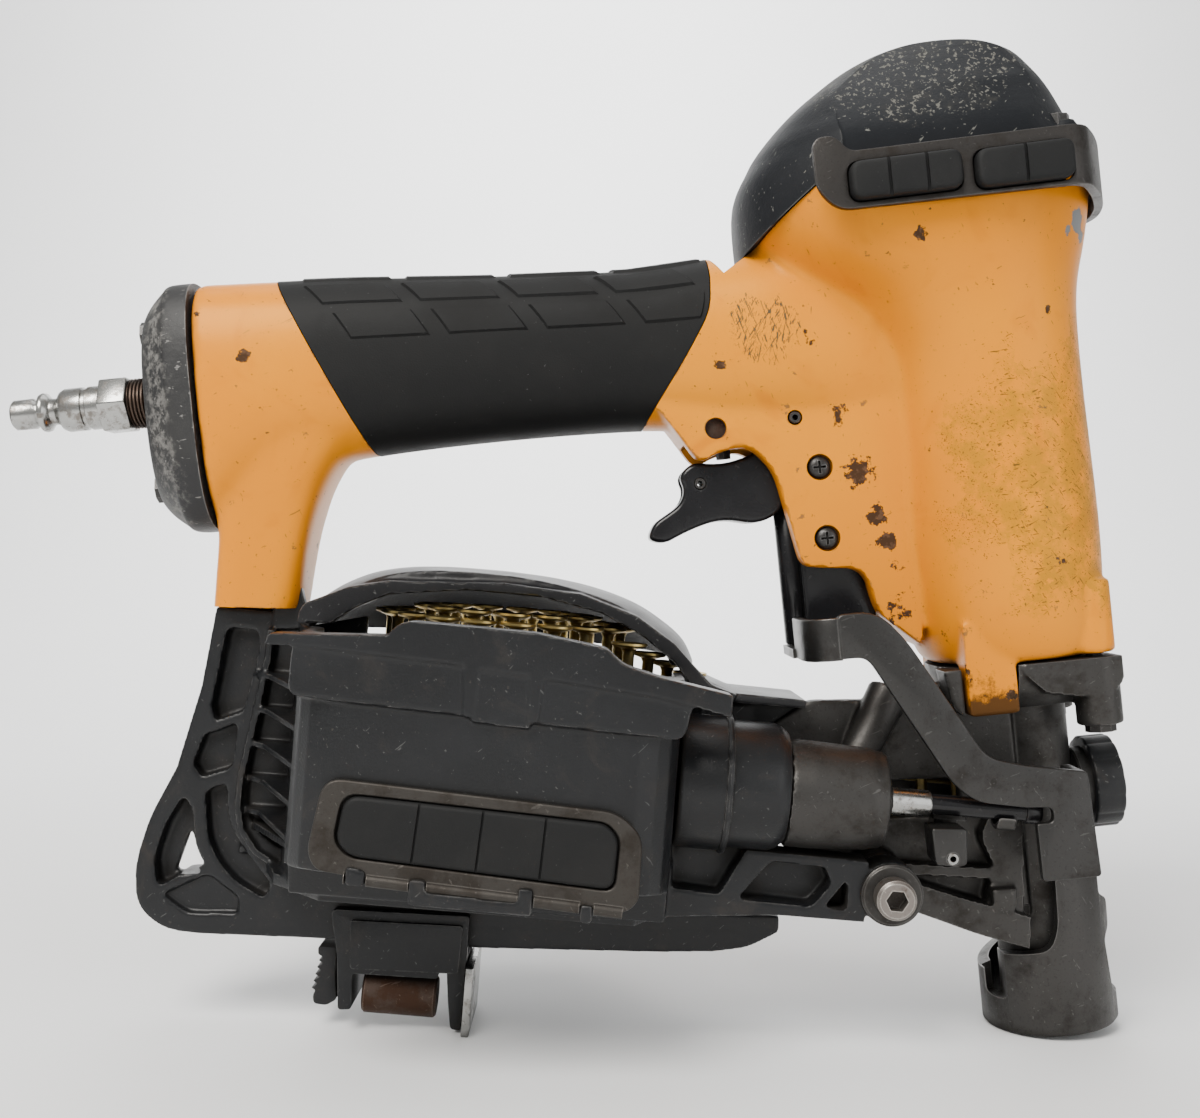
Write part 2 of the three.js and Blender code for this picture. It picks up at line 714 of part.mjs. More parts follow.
function noseGeometry() {
  const flange = loft(
    "z",
    [[88, -1, 0, 19, 19, 2.4], [92, -1, 0, 22, 23, 2.3], [100, -1, 0, 23.2, 25.6, 2.3]],
    24,
  );
  const lugs = NOSE_SCREWS.map(([x, y]) =>
    join(disc(6, 84, 100, "z", 14).translate(x, y, 0), block(2, x + 5, y - 5, y + 5, 93, 100)),
  );
  const screwHoles = NOSE_SCREWS.map(([x, y]) => disc(2.4, 80, 102, "z", 10).translate(x, y, 0));
  const barrel = disc(12, 13, 96, "z", 20);
  const cheek = slab(
    [
      [-72, 60, 3],
      [-58, 40, 8],
      [-40, 38, 3],
      [-19, 31.5, 3],
      [-6, 31.5],
      [-6, 96],
      [-36, 96, 4],
      [-41, 93],
      [-60, 91],
      [-73, 88, 3],
    ],
    -13,
    -8.6,
    [[[-50, 52, 2], [-50, 67, 2], [-20, 63, 2], [-20, 48, 2]]],
  );
  const strut = block(-68, -46, -24, -10, 66, 84);
  const rodGuide = cut(
    join(seenFrom(head, feed, disc(5.2, 29, 34, "x", 16)), block(-19.5, -12.5, -30, -9, 60, 67)),
    block(-40, 0, -40, ARM.inner + GAP, 50, 75),
  );
  const boss = bar(7.6, [BOLT[0], -23.4, BOLT[1]], [BOLT[0], -8.8, BOLT[1]], 16);
  const cylinder = seenFrom(head, feed, disc(13.4, -25, 0, "x"));
  const doorLug = cut(
    bar(3.4, [DOOR_PIN[0], DOOR_PIN[1], 32], [DOOR_PIN[0], DOOR_PIN[1], 84], 12),
    block(-22, -6, 6, 22, 40, 74),
  );
  const doorLugWeb = [
    block(DOOR_PIN[0], -4, 8.6, 14.5, 32, 40),
    block(DOOR_PIN[0], -4, 8.6, 14.5, 74, 84),
  ];
  const channel = disc(5.3, 5, 110, "z", 20);
  const throat = block(-14, 0, -5.4, 5.4, 34, 84.4);
  const bladeRoom = disc(6, 94, 110, "z", 20);
  const cylinderBore = seenFrom(
    head,
    feed,
    join(disc(10.6, -30, -3.2, "x"), disc(3.9, -5, 8, "x", 16), disc(3, 10, 60, "x", 14)),
  );
  const doorPinHole = bar(1.65, [DOOR_PIN[0], DOOR_PIN[1], 20], [DOOR_PIN[0], DOOR_PIN[1], 90], 12);
  const tongueRoom = [
    block(-20.9, -6.1, -26, -16.6, 80, 101),
    block(-20.9, -6.1, 16.6, 26, 80, 101),
  ];
  const screwHole = bar(3.3, [BOLT[0], -40, BOLT[1]], [BOLT[0], -11, BOLT[1]], 12);
  return cut(
    join(flange, ...lugs, barrel, cheek, strut, boss, cylinder, doorLug, ...doorLugWeb, rodGuide),
    channel,
    throat,
    bladeRoom,
    cylinderBore,
    doorPinHole,
    ...tongueRoom,
    screwHole,
    ...screwHoles,
    bar(3.3, [8, 0, 63.5], [20, 0, 63.5], 14),
  );
}

// ---------------------------------------------------------------- contact arm, foot and depth knob (head frame)

function addContact() {
  const trip = group("work_contact", head, [0, 0, 0]);
  const arm = slab(
    [
      [-56.6, 117.6, 2],
      [-44, 117.6, 5],
      [-37.2, 110.5, 4],
      [-19.6, 78.4, 4],
      [-10, 75.6],
      [5.2, 72.6, 1],
      [6.3, 46, 1],
      [-8.6, 46, 1],
      [-8.8, 60.7],
      [-4.4, 60.7, 1.6],
      [-4.4, 64.4, 1.6],
      [-11, 65],
      [-23.4, 67.6, 5],
      [-28.8, 72.7, 3],
      [-46.6, 106.2, 3],
      [-56.6, 106.4, 1],
    ],
    ARM.outer,
    ARM.inner,
  );
  const shelf = block(-63, -50, ARM.outer, 5, 106.4, 108.9);
  const rod = disc(1.7, 108, 146, "z", 12).translate(PUSHER_X, 0, 0);
  const wrap = block(3.8, 6.3, ARM.outer, -13.4, 46, 69.4);
  const shoulder = block(-1.5, 6.3, ARM.outer, -18.6, 46, 48.6);
  const strap = block(0, 10, -21.2, -18.6, 30, 48.6);
  piece(trip, "contact_arm", join(arm, shelf, rod, wrap, shoulder, strap), STEEL);
  const pusher = turned([[2, 109.2], [3.4, 109.2], [3.4, 147.4], [2, 147.4], [2, 109.2]], "z", 14);
  piece(trip, "trip_pusher", pusher.translate(PUSHER_X, 0, 0), BLACK);

  const ring = cut(
    turned([[FOOT.inner, 0], [FOOT.outer, 0], [FOOT.outer, FOOT.height], [FOOT.inner, FOOT.height], [FOOT.inner, 0]], "z", 32),
    block(-26, -14, -4.5, 4.5, 4, 17),
    slab([[-30, 12], [-4, 22], [-30, 30]], -30, 30),
  );
  const upright = cut(
    turned([[FOOT.inner, 12], [18.3, 12], [18.3, 43], [FOOT.inner, 43], [FOOT.inner, 12]], "z", 32),
    block(-30, -1.5, -30, 30, 10, 50),
    block(-30, 30, -6, 30, 10, 50),
    slab([[12.6, 10], [30, 10], [30, 50], [12.6, 50]], -30, 30),
  );
  piece(trip, "contact_foot", join(ring, upright), STEEL);

  const knobBody = group("depth_knob", head, [14, 0, 63.5]);
  const flutes = Array.from({ length: 12 }, (_, i) =>
    disc(1.6, 12.5, 25, "x", 6)
      .translate(0, 13.2, 0)
      .rotateX((i * Math.PI) / 6),
  );
  const knob = cut(
    turned([[0, 8.4], [3, 8.4], [3, 12.4], [8, 12.4], [8, 14.6], [12.6, 15], [12.6, 21.6], [11, 23], [0, 23]], "x", 24),
    ...flutes,
  );
  piece(knobBody, "depth_knob_wheel", knob.translate(0, 0, 63.5), BLACK);
}

// ---------------------------------------------------------------- nail feed (feed frame)

const PAWL_PIN = [18.5, 9];

function addFeed() {
  const collar = turned(
    [
      [0, -53], [16.4, -53], [16.4, -41], [15.7, -40], [15.7, -25.3], [10.6, -25.3], [10.6, -45], [0, -45],
    ],
    "x",
    24,
  );
  const canisterSpace = seenFrom(feed, magazine, canister(GAP, -5, 90));
  piece(feed, "feed_cylinder_cap", cut(collar, canisterSpace), BLACK);

  const slide = group("feed_slide", feed, [0, 0, 0]);
  const rod = turned(
    [[0, -20.5], [10.3, -20.5], [10.3, -15], [3.5, -15], [3.5, 12], [2.7, 12.6], [2.7, 40.2], [2, 41], [0, 41]],
    "x",
    14,
  );
  const [pinX, pinY] = PAWL_PIN;
  const hanger = join(block(14, 23, -3.4, 3.4, -12.6, -1), block(14, 23, -3.4, pinY + 3, -4.2, -1.6));
  const lowerFork = block(14, 23, -3.4, pinY + 3, -12.6, -11.3);
  const pinHole = disc(1.55, -20, 5, "z", 12).translate(pinX, pinY, 0);
  piece(slide, "feed_piston", cut(join(rod, hanger, lowerFork), pinHole), BRIGHT);
  piece(slide, "feed_spring", spring(8.4, 1, 20.8, 33.5, 4).rotateY(-Math.PI / 2), STEEL);

  const pawl = group("pawl_hinge", slide, [pinX, pinY, 0]);
  const pawlShape = join(
    plate([[15.4, 5.6, 2], [21.6, 5.6, 2], [22, 20], [24.4, 26.6, 0.6], [22.4, 28, 0.6], [17, 22]], -11, -4.5),
    disc(1.3, -12.4, -1.8, "z", 12).translate(pinX, pinY, 0),
  );
  piece(pawl, "feed_pawl", pawlShape, STEEL);
}

// ---------------------------------------------------------------- nose door (head frame)

function addDoor() {
  const [pinX, pinY] = DOOR_PIN;
  const pinHole = bar(1.65, [pinX, pinY, 20], [pinX, pinY, 90], 12);
  piece(head, "door_pin", bar(1.4, [pinX, pinY, 32.4], [pinX, pinY, 83.6], 12), STEEL);

  const hinge = group("door_hinge", head, [pinX, pinY, 57]);
  const panel = join(
    slab([[-68, 50, 3], [-58, 40, 5], [-19, 33, 3], [-19, 82, 3], [-68, 87, 3]], 6.2, 8.8),
    block(-22, pinX, 6.6, 9.4, 41, 73),
    bar(3.3, [pinX, pinY, 40.4], [pinX, pinY, 73.6], 14),
    slab([[-60, 58], [-22, 52], [-22, 56], [-60, 62]], 8.6, 11),
    slab([[-60, 74], [-22, 70], [-22, 74], [-60, 78]], 8.6, 11),
    block(-66, -60, 8.6, 14, 60, 63),
    block(-66, -60, 8.6, 14, 73, 76),
  );
  const latchPinHole = bar(1.55, [-63, 11.4, 50], [-63, 11.4, 90], 12);
  piece(hinge, "nose_door", cut(panel, pinHole, latchPinHole), CAST);
  const latch = group("door_latch_hinge", hinge, [-63 - pinX, 11.4 - pinY, 0]);
  const latchShape = join(
    bar(2.3, [-63, 11.4, 63.3], [-63, 11.4, 72.7], 14),
    plate([[-64.6, 10.6], [-61.4, 10.6], [-56, 17, 2], [-57, 18.6, 1], [-64, 14]], 63.3, 72.7),
    bar(1.3, [-63, 11.4, 60.4], [-63, 11.4, 75.6], 12),
  );
  piece(latch, "door_latch", latchShape, STEEL);
}

// ---------------------------------------------------------------- magazine body (magazine frame)

// The canister's outside, round with a flat-faced block on the near side, grown by an offset.
function canister(grow, z0, z1) {
  const round = disc(CANISTER.radius + grow, z0, z1, "z", 40);
  const face = plate(
    [
      [-47.5 - grow, -CANISTER.face - grow, 9],
      [47.5 + grow, -CANISTER.face - grow, 9],
      [47.5 + grow, 0],
      [-47.5 - grow, 0],
    ],
    z0,
    z1,
  );
  return join(round, face);
}
const mirrored = (geometry) => geometry.clone().rotateZ(Math.PI);

const TROUGH = [[[51, -13.4], [56, -13.2], [69.5, -9.2], [69.5, -6.6], [58, -10.6], [53, -12.6]], 18, 60];

function magazineBodyGeometry() {
  const shell = cut(
    canister(0, CANISTER.floor, 82),
    canister(-CANISTER.wall, CANISTER.inside, 90),
    block(-70, 70, -0.3, 70, CANISTER.inside, 90),
  );
  const aboveRim = slab(
    [
      [-70, 100],
      [-70, 66],
      [-52, 74.7, 3],
      [-25, 78.6],
      [10, 77],
      [30, 75.6],
      [40, 70.5, 4],
      [70, 66],
      [70, 100],
    ],
    -70,
    70,
  );
  const loop = slab(
    [
      [-79, 76.8],
      [-80, 62],
      [-83.7, 39.7],
      [-90.3, 20],
      [-96.3, 7, 5],
      [-96, -4, 6],
      [-90, -12, 5],
      [-43.9, -12.2],
      [-2.7, -11.4],
      [70.8, -5.5],
      [81, -1.5, 3],
      [81, 5, 1.5],
      [42.8, 3],
      [30, 9],
      [-47.9, 10.3, 8],
      [-62, 17, 8],
      [-66.4, 27.2, 8],
      [-62.4, 76.8],
    ],
    -7,
    7,
    [[[-82.8, 12.5], [-86.5, 2.8], [-76.5, 4]]],
  );
  const tongue = block(-76.5, -64.9, -5, 5, 74, 91.5);
  const strap = slab([[-64, 60], [-64, 70], [-52, 70], [-52, 60]], -10, -3);
  const truss = slab(
    [
      [40, 14],
      [48.9, 16.6],
      [56, 24.9, 3],
      [76.7, 26.6],
      [97, 24.5],
      [97, 13],
      [57.1, 10.7],
      [40, 8.2],
    ],
    -35,
    -24.5,
    [[[58, 14, 1.5], [59, 21.5, 1.5], [90, 20.5, 1.5], [90, 15.5, 1.5]]],
  );
  const [boltX, boltZ] = BOLT_IN_MAGAZINE;
  const boss = bar(8, [boltX, -35, boltZ], [boltX, -23.7, boltZ], 18);
  const boltHole = bar(3.3, [boltX, -50, boltZ], [boltX, -10, boltZ], 12);
  const trough = plate(...TROUGH);
  const opening = block(44, 60, -13.6, 2, 18, 90);
  const hub = turned([[4.2, 8], [8, 8], [8, 18], [4.2, 18], [4.2, 8]], "z", 20);
  const knuckle = join(
    disc(COVER_HINGE.radius, -9.7, 9.7, "x", 14).translate(0, COVER_HINGE.y, COVER_HINGE.z),
    block(-9.7, 9.7, COVER_HINGE.y - 3, COVER_HINGE.y + 3, COVER_HINGE.z, 9),
  );
  const coverSide = cut(
    mirrored(canister(GAP, CANISTER.floor - 1, 80)),
    disc(CANISTER.radius - CANISTER.wall - GAP, 0, 20, "z", 40),
    block(-80, 80, -80, 0, 0, 90),
  );
  const hingePin = disc(1.75, -40, 40, "x", 12).translate(0, COVER_HINGE.y, COVER_HINGE.z);
  const body = cut(join(shell, loop, strap, truss, boss, hub, knuckle), aboveRim, coverSide);
  return cut(
    join(cut(body, opening), tongue, trough),
    boltHole,
    hingePin,
    disc(4.2, 0, 20, "z", 20),
    bar(1.75, [-70.7, -30, 84], [-70.7, 30, 84], 12),
  );
}

const BOLT_IN_MAGAZINE = (() => {
  tool.updateMatrixWorld(true);
  const at = head.localToWorld(new THREE.Vector3(BOLT[0], 0, BOLT[1]));
  magazine.worldToLocal(at);
  return [at.x, at.z];
})();

// ---------------------------------------------------------------- magazine cover (magazine frame)

function coverGeometry() {
  const far = mirrored(canister(0, CANISTER.floor, 76));
  const hollow = mirrored(canister(-CANISTER.wall, 0, 90));
  const dome = (grow, low) =>
    loft(
      "z",
      [
        [low, -2, 0, 54 + grow, 55 + grow, 2],
        [78, -3, 0, 51 + grow, 53 + grow, 2],
        [85 + grow / 2, -4, 0, 42.5 + grow, 46 + grow, 2],
        [90 + grow / 2, -6, 0, 31 + grow, 36 + grow, 2],
        [92.7 + grow / 2, -9, 0, 14 + grow, 18 + grow, 2],
      ],
      32,
    );
  const shell = cut(join(cut(far, hollow), cut(dome(0, 70), dome(-2.4, 60))), block(-70, 70, -70, 0.1, 0, 76.9));
  const window = join(block(-70, 70, -70, -24, 60, 100), block(-70, -46, -70, 0.1, 60, 100));
  const roof = slab(
    [[40, 80.5], [54, 70.4], [65.6, 66.6], [84, 62.5], [84, 60.8], [65, 64.6], [53, 68.2], [40, 77.6]],
    -5.4,
    8.8,
  );
  const wall = plate([[53, 6.2], [76, 6.2], [76, 8.8], [51, 8.8]], 18, 62);
  const slot = block(44, 60, -1, 6.2, 18, 68);
  const { y, z, radius } = COVER_HINGE;
  const knuckles = [[-30, -10], [10, 30]].map(([x0, x1]) =>
    join(disc(radius, x0, x1, "x", 14).translate(0, y, z), block(x0, x1, y, 56, z - 2.4, z + 1.4)),
  );
  const skirt = cut(
    mirrored(canister(0, z - 2.4, 10)),
    mirrored(canister(-CANISTER.wall, -5, 20)),
    block(-80, 80, -80, 40, -5, 20),
  );
  const hingePin = disc(1.75, -40, 40, "x", 12).translate(0, y, z);
  return cut(join(cut(shell, window), roof, wall, ...knuckles, skirt), hingePin, slot);
}

// ---------------------------------------------------------------- wear plates (magazine frame)

const WEAR_OUTLINE = [
  [-34, 41.1, 4],
  [33.6, 39.4, 4],
  [39.5, 32.8, 4],
  [39.1, 17, 3],
  [-37.8, 19.2, 3],
  [-39.5, 35.9, 4],
];
const PAD_OUTLINE = [
  [-32, 38.5, 3],
  [29, 37.2, 3],
  [33.3, 33.5, 3],
  [32.4, 21.5, 3],
  [-33, 24.5, 3],
];

function wearPlate(side) {
  const face = -CANISTER.face - GAP;
  const made = cut(
    join(slab(WEAR_OUTLINE, face - 1.6, face), bar(1.6, [-36, face - 1.6, 17.6], [37.8, face - 1.6, 15.6], 10)),
    slab(PAD_OUTLINE, face - 5, face + 5),
  );
  return side < 0 ? made : mirrored(made);
}

function wearPad(side) {
  const face = -CANISTER.face - GAP;
  const shrunk = PAD_OUTLINE.map(([x, z, r]) => [x * 0.985, 30.5 + (z - 30.5) * 0.965, r]);
  const ribs = [-26, -18, -10, -2, 6, 14, 22].map((x) => block(x, x + 3, face - 3.2, face - 1, 25.4, 36));
  const made = join(slab(shrunk, face - 2.4, face), ...ribs);
  return side < 0 ? made : mirrored(made);
}

// ---------------------------------------------------------------- platform, coil and nail strip (magazine frame)

const STRIP_PATH = new THREE.CatmullRomCurve3(
  [
    [135.2, 0, 57.7],
    [110, 0, 58.2],
    [84, 0, 59.3],
    [66, 0, 62],
    [50, -5, 66],
    [31, -29, 70.5],
  ].map((p) => new THREE.Vector3(...p)),
);

function nailStripGeometry() {
  const length = STRIP_PATH.getLength();
  const count = Math.floor(length / NAIL.pitch);
  const nails = [];
  const wires = [];
  let before = null;
  for (let i = 0; i <= count; i++) {
    const t = (i * NAIL.pitch) / length;
    const top = STRIP_PATH.getPointAt(t);
    const lean = Math.max(0, 1 - t * 1.6) * (DRIVE_LEAN + MAGAZINE_TILT);
    const down = new THREE.Vector3(Math.sin(lean), 0, -Math.cos(lean));
    const along = (d) => top.clone().addScaledVector(down, d).toArray();
    nails.push(bar(NAIL.head, along(0), along(1.3), 8), bar(NAIL.shank, along(1), along(NAIL.length), 6));
    const now = [14, 26].map(along);
    if (before) now.forEach((p, k) => wires.push(bar(0.5, before[k], p, 4)));
    before = now;
  }
  return join(...nails, ...wires);
}

function addMagazine() {
  piece(magazine, "magazine_body", magazineBodyGeometry(), BLACK);
  piece(magazine, "near_wear_plate", wearPlate(-1), STEEL);
  piece(magazine, "near_wear_pad", wearPad(-1), RUBBER);
  piece(magazine, "leg_pin", bar(1.6, [-70.7, -13, 84], [-70.7, 13, 84], 12), STEEL);

  const [boltX, boltZ] = BOLT_IN_MAGAZINE;
  const washer = cut(
    bar(7.8, [boltX, -36.8, boltZ], [boltX, -35.3, boltZ], 20),
    bar(3.3, [boltX, -50, boltZ], [boltX, -10, boltZ], 12),
  );
  piece(magazine, "magazine_washer", washer, BRIGHT);
  const screw = socketScrew(2.9, 5, 5.6, 24).rotateX(Math.PI / 2).translate(boltX, -37.1, boltZ);
  piece(magazine, "magazine_screw", screw, STEEL);

  const { y, z } = COVER_HINGE;
  piece(magazine, "cover_hinge_pin", disc(1.5, -30, 30, "x", 12).translate(0, y, z), STEEL);
  const cover = group("cover_hinge", magazine, [0, y, z]);
  piece(cover, "magazine_cover", coverGeometry(), BLACK);
  piece(cover, "far_wear_plate", wearPlate(1), STEEL);
  piece(cover, "far_wear_pad", wearPad(1), RUBBER);

  const lift = group("platform_slide", magazine, [0, 0, 20]);
  const platform = turned(
    [[0, 9], [3.9, 9], [3.9, 26], [41, 26], [41, 28], [12, 28.6], [9, 40], [9, 58], [0, 60]],
    "z",
    24,
  );
  piece(lift, "nail_platform", platform, BLACK);
  const spin = group("coil_spin", lift, [0, 0, 30]);
  const coil = turned(
    [[14, 37], [34, 29], [37, 29], [37, 68], [35, 70], [20, 74.5], [14, 75.6], [14, 37]],
    "z",
    24,
  );
  piece(spin, "nail_coil", coil, BRASS);
  piece(magazine, "nail_strip", nailStripGeometry(), BRASS);
}

// ---------------------------------------------------------------- shingle guide (magazine frame)

const GUIDE_HINGE = [-41.2, -12.8];

function addGuide() {
  const slide = group("guide_slide", magazine, [-20, 0, -12]);
  const carriage = cut(
    slab(
      [
        [-38.6, -13.4],
        [-38.6, -3.8, 2],
        [-1.5, -2.6, 2],
        [-1.1, -13.6],
        [-3.3, -13.6],
        [-3.3, -31],
        [-8.6, -31, 1],
        [-10.3, -17.6],
        [-32, -17.6, 2],
      ],
      -11,
      11,
    ),
    block(-60, 10, -7.3, 7.3, -12.6, 10),
    bar(1.5, [-20, -6, -24], [0, -6, -24], 10),
  );
  piece(slide, "guide_carriage", carriage, BLACK);
  const barrel = turned([[0, -30.4], [5.6, -30.4], [5.6, -10.6], [1.3, -10.6], [1.3, -3.4], [0, -3.4]], "x", 18);
  piece(slide, "guide_barrel", barrel.translate(0, -6, -24), STEEL);
  piece(slide, "guide_stop_plate", block(-3, -0.8, -14, 14, -32.3, -13.9), BRIGHT);
  const lever = group("guide_lever_hinge", slide, [GUIDE_HINGE[0] + 20, 0, GUIDE_HINGE[1] + 12]);
  const leverShape = slab(
    [
      [-44.4, -13.4, 1],
      [-39, -13.4, 1],
      [-38.6, -19],
      [-37.6, -28, 1],
      [-41.9, -29.6, 1],
      [-44.8, -27.9, 1],
      [-42.5, -21.4],
    ],
    -6,
    6,
  );
  piece(lever, "guide_lock_lever", leverShape, BLACK);
}

// ---------------------------------------------------------------- the whole tool

addHousing();
addSkidBand();
addDriveTrain();
addTriggerGroup();
piece(head, "nose", noseGeometry(), CAST);
NOSE_SCREWS.forEach(([x, y], i) => {
  const screw = socketScrew(2, 4, 3.6, 28).rotateX(Math.PI).translate(x, y, 83.7);
  piece(head, `nose_screw_${i + 1}`, screw, STEEL);
});
addContact();
addFeed();
addDoor();
addMagazine();
addGuide();

// Stand the tool on z = 0 with the middle of its outline over the origin.
tool.updateMatrixWorld(true);
const bounds = new THREE.Box3().setFromObject(tool, true);
const middle = bounds.getCenter(new THREE.Vector3());
tool.position.set(-middle.x, -middle.y, -bounds.min.z);
tool.updateMatrixWorld(true);

export default tool;
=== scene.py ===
"""A worn coil roofing nailer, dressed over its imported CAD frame.

Shapes are drawn in millimetres in three tilted frames, the same ones the CAD uses:
head (z up the drive axis), magazine (z up the canister's axis) and feed (x along the feed piston).
"""

import json
import math

import bmesh
import bpy
from mathutils import Matrix, Vector


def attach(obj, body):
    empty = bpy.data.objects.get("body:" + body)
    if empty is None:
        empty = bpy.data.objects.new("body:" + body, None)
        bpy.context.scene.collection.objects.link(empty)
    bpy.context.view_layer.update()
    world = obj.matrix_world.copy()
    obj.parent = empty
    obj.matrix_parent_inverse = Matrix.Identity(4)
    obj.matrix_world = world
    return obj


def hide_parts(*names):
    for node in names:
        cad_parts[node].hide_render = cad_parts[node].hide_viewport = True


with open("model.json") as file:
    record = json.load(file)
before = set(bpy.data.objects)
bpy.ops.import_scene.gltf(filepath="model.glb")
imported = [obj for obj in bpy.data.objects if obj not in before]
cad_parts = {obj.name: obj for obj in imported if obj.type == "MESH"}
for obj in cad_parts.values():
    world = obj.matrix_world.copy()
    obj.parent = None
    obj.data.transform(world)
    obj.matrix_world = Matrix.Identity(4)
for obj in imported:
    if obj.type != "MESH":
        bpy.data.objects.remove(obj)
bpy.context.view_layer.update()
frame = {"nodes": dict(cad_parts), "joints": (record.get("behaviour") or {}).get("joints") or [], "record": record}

MM = 0.001
JOINTS = {joint["name"]: joint for joint in frame["joints"]}


# ---------------------------------------------------------------- frames

def local_frame(joint, pivot, up=None, forward=None):
    """The frame in which that joint's pivot has the given place in millimetres; y is the row's own."""
    y = Vector((0, 1, 0))
    z = Vector(up) if up else Vector(forward).cross(y)
    x = y.cross(z)
    turn = Matrix((x, y, z)).transposed().to_4x4()
    scale = turn @ Matrix.Scale(MM, 4)
    origin = Vector(JOINTS[joint]["pos_m"]) - scale.to_3x3() @ Vector(pivot)
    return Matrix.Translation(origin) @ scale


HEAD = local_frame("trigger_pull", (-56.3, 0, 170.4), up=JOINTS["contact_trip"]["axis"])
MAGAZINE = local_frame("cover_swing", (0, 34, 4.2), forward=JOINTS["cover_swing"]["axis"])
FEED = local_frame("pawl_swing", (18.5, 9, 0), forward=JOINTS["feed_stroke"]["axis"])


# ---------------------------------------------------------------- mesh helpers

def mesh_object(name, verts, faces):
    mesh = bpy.data.meshes.new(name)
    mesh.from_pydata([tuple(v) for v in verts], [], faces)
    made = bpy.data.objects.new(name, mesh)
    bpy.context.scene.collection.objects.link(made)
    shell = bmesh.new()
    shell.from_mesh(mesh)
    bmesh.ops.recalc_face_normals(shell, faces=shell.faces)
    shell.to_mesh(mesh)
    shell.free()
    return made


def discard(obj):
    mesh = obj.data
    bpy.data.objects.remove(obj)
    bpy.data.meshes.remove(mesh)


def applied(obj):
    """Turns an object's modifiers into its mesh."""
    graph = bpy.context.evaluated_depsgraph_get()
    mesh = bpy.data.meshes.new_from_object(obj.evaluated_get(graph))
    obj.modifiers.clear()
    old = obj.data
    obj.data = mesh
    bpy.data.meshes.remove(old)
    return obj


def joined(*parts):
    """One object from several; shells may overlap."""
    target = parts[0]
    shell = bmesh.new()
    for part in parts:
        shell.from_mesh(part.data)
    shell.to_mesh(target.data)
    shell.free()
    for part in parts[1:]:
        discard(part)
    return target


def bevelled(obj, width, segments=2, angle=35):
    modifier = obj.modifiers.new("edges", "BEVEL")
    modifier.width = width
    modifier.segments = segments
    modifier.limit_method = "ANGLE"
    modifier.angle_limit = math.radians(angle)
    modifier.use_clamp_overlap = True
    return applied(obj)


def carved(obj, *tools, operation="DIFFERENCE"):
    for tool in tools:
        modifier = obj.modifiers.new("carve", "BOOLEAN")
        modifier.operation = operation
        modifier.solver = "EXACT"
        modifier.object = tool
        applied(obj)
        discard(tool)
    return obj


def fused(parts, voxel, rounds, cuts=()):
    """A casting: solids melted together, with fillets where they meet."""
    solid = joined(*parts)
    modifier = solid.modifiers.new("melt", "REMESH")
    modifier.mode = "VOXEL"
    modifier.voxel_size = voxel
    applied(solid)
    carved(solid, *cuts)
    modifier = solid.modifiers.new("fillet", "SMOOTH")
    modifier.factor = 0.5
    modifier.iterations = rounds
    return applied(solid)


def rounded(points, steps=5):
    """A closed outline whose points are (x, y) or (x, y, corner radius)."""
    result = []
    count = len(points)
    for i, point in enumerate(points):
        corner = Vector(point[:2])
        before = Vector(points[i - 1][:2]) - corner
        after = Vector(points[(i + 1) % count][:2]) - corner
        if len(point) == 2:
            result.append(corner)
            continue
        reach = min(point[2], 0.48 * before.length, 0.48 * after.length)
        start = corner + before.normalized() * reach
        end = corner + after.normalized() * reach
        for k in range(steps + 1):
            t = k / steps
            result.append(start * (1 - t) ** 2 + corner * 2 * t * (1 - t) + end * t * t)
    return result


def prism(outline, low, high, axis="y"):
    """An outline swept along an axis; the outline's own axes are the other two, in x, y, z order."""
    points = rounded(outline)
    count = len(points)
    place = {
        "x": lambda p, h: (h, p.x, p.y),
        "y": lambda p, h: (p.x, h, p.y),
        "z": lambda p, h: (p.x, p.y, h),
    }[axis]
    verts = [place(p, low) for p in points] + [place(p, high) for p in points]
    faces = [list(range(count))[::-1], [count + i for i in range(count)]]
    faces += [[i, (i + 1) % count, count + (i + 1) % count, count + i] for i in range(count)]
    return mesh_object("prism", verts, faces)


def block(x0, x1, y0, y1, z0, z1):
    return prism([(x0, z0), (x1, z0), (x1, z1), (x0, z1)], y0, y1)


def lathe(profile, axis="z", sides=64, centre=(0, 0, 0)):
    """A body of revolution; profile points are (radius, distance along the axis), closed or ending on the axis."""
    place = {
        "x": lambda r, a, h: (h, r * math.cos(a), r * math.sin(a)),
        "y": lambda r, a, h: (r * math.cos(a), h, r * math.sin(a)),
        "z": lambda r, a, h: (r * math.cos(a), r * math.sin(a), h),
    }[axis]
    loop = profile[:-1] if profile[0] == profile[-1] else profile
    closed = profile[0] == profile[-1]
    verts = []
    rings = []
    for radius, height in loop:
        if radius == 0:
            rings.append([len(verts)])
            verts.append(Vector(place(0, 0, height)) + Vector(centre))
            continue
        rings.append(list(range(len(verts), len(verts) + sides)))
        for k in range(sides):
            verts.append(Vector(place(radius, 2 * math.pi * k / sides, height)) + Vector(centre))
    faces = []
    pairs = list(zip(rings, rings[1:]))
    if closed:
        pairs.append((rings[-1], rings[0]))
    for a, b in pairs:
        for k in range(sides):
            corner = [a[k % len(a)], a[(k + 1) % len(a)], b[(k + 1) % len(b)], b[k % len(b)]]
            face = list(dict.fromkeys(corner))
            if len(face) > 2:
                faces.append(face)
    return mesh_object("lathe", verts, faces)


def disc(radius, low, high, axis="z", sides=48, centre=(0, 0, 0)):
    return lathe([(0, low), (radius, low), (radius, high), (0, high)], axis, sides, centre)


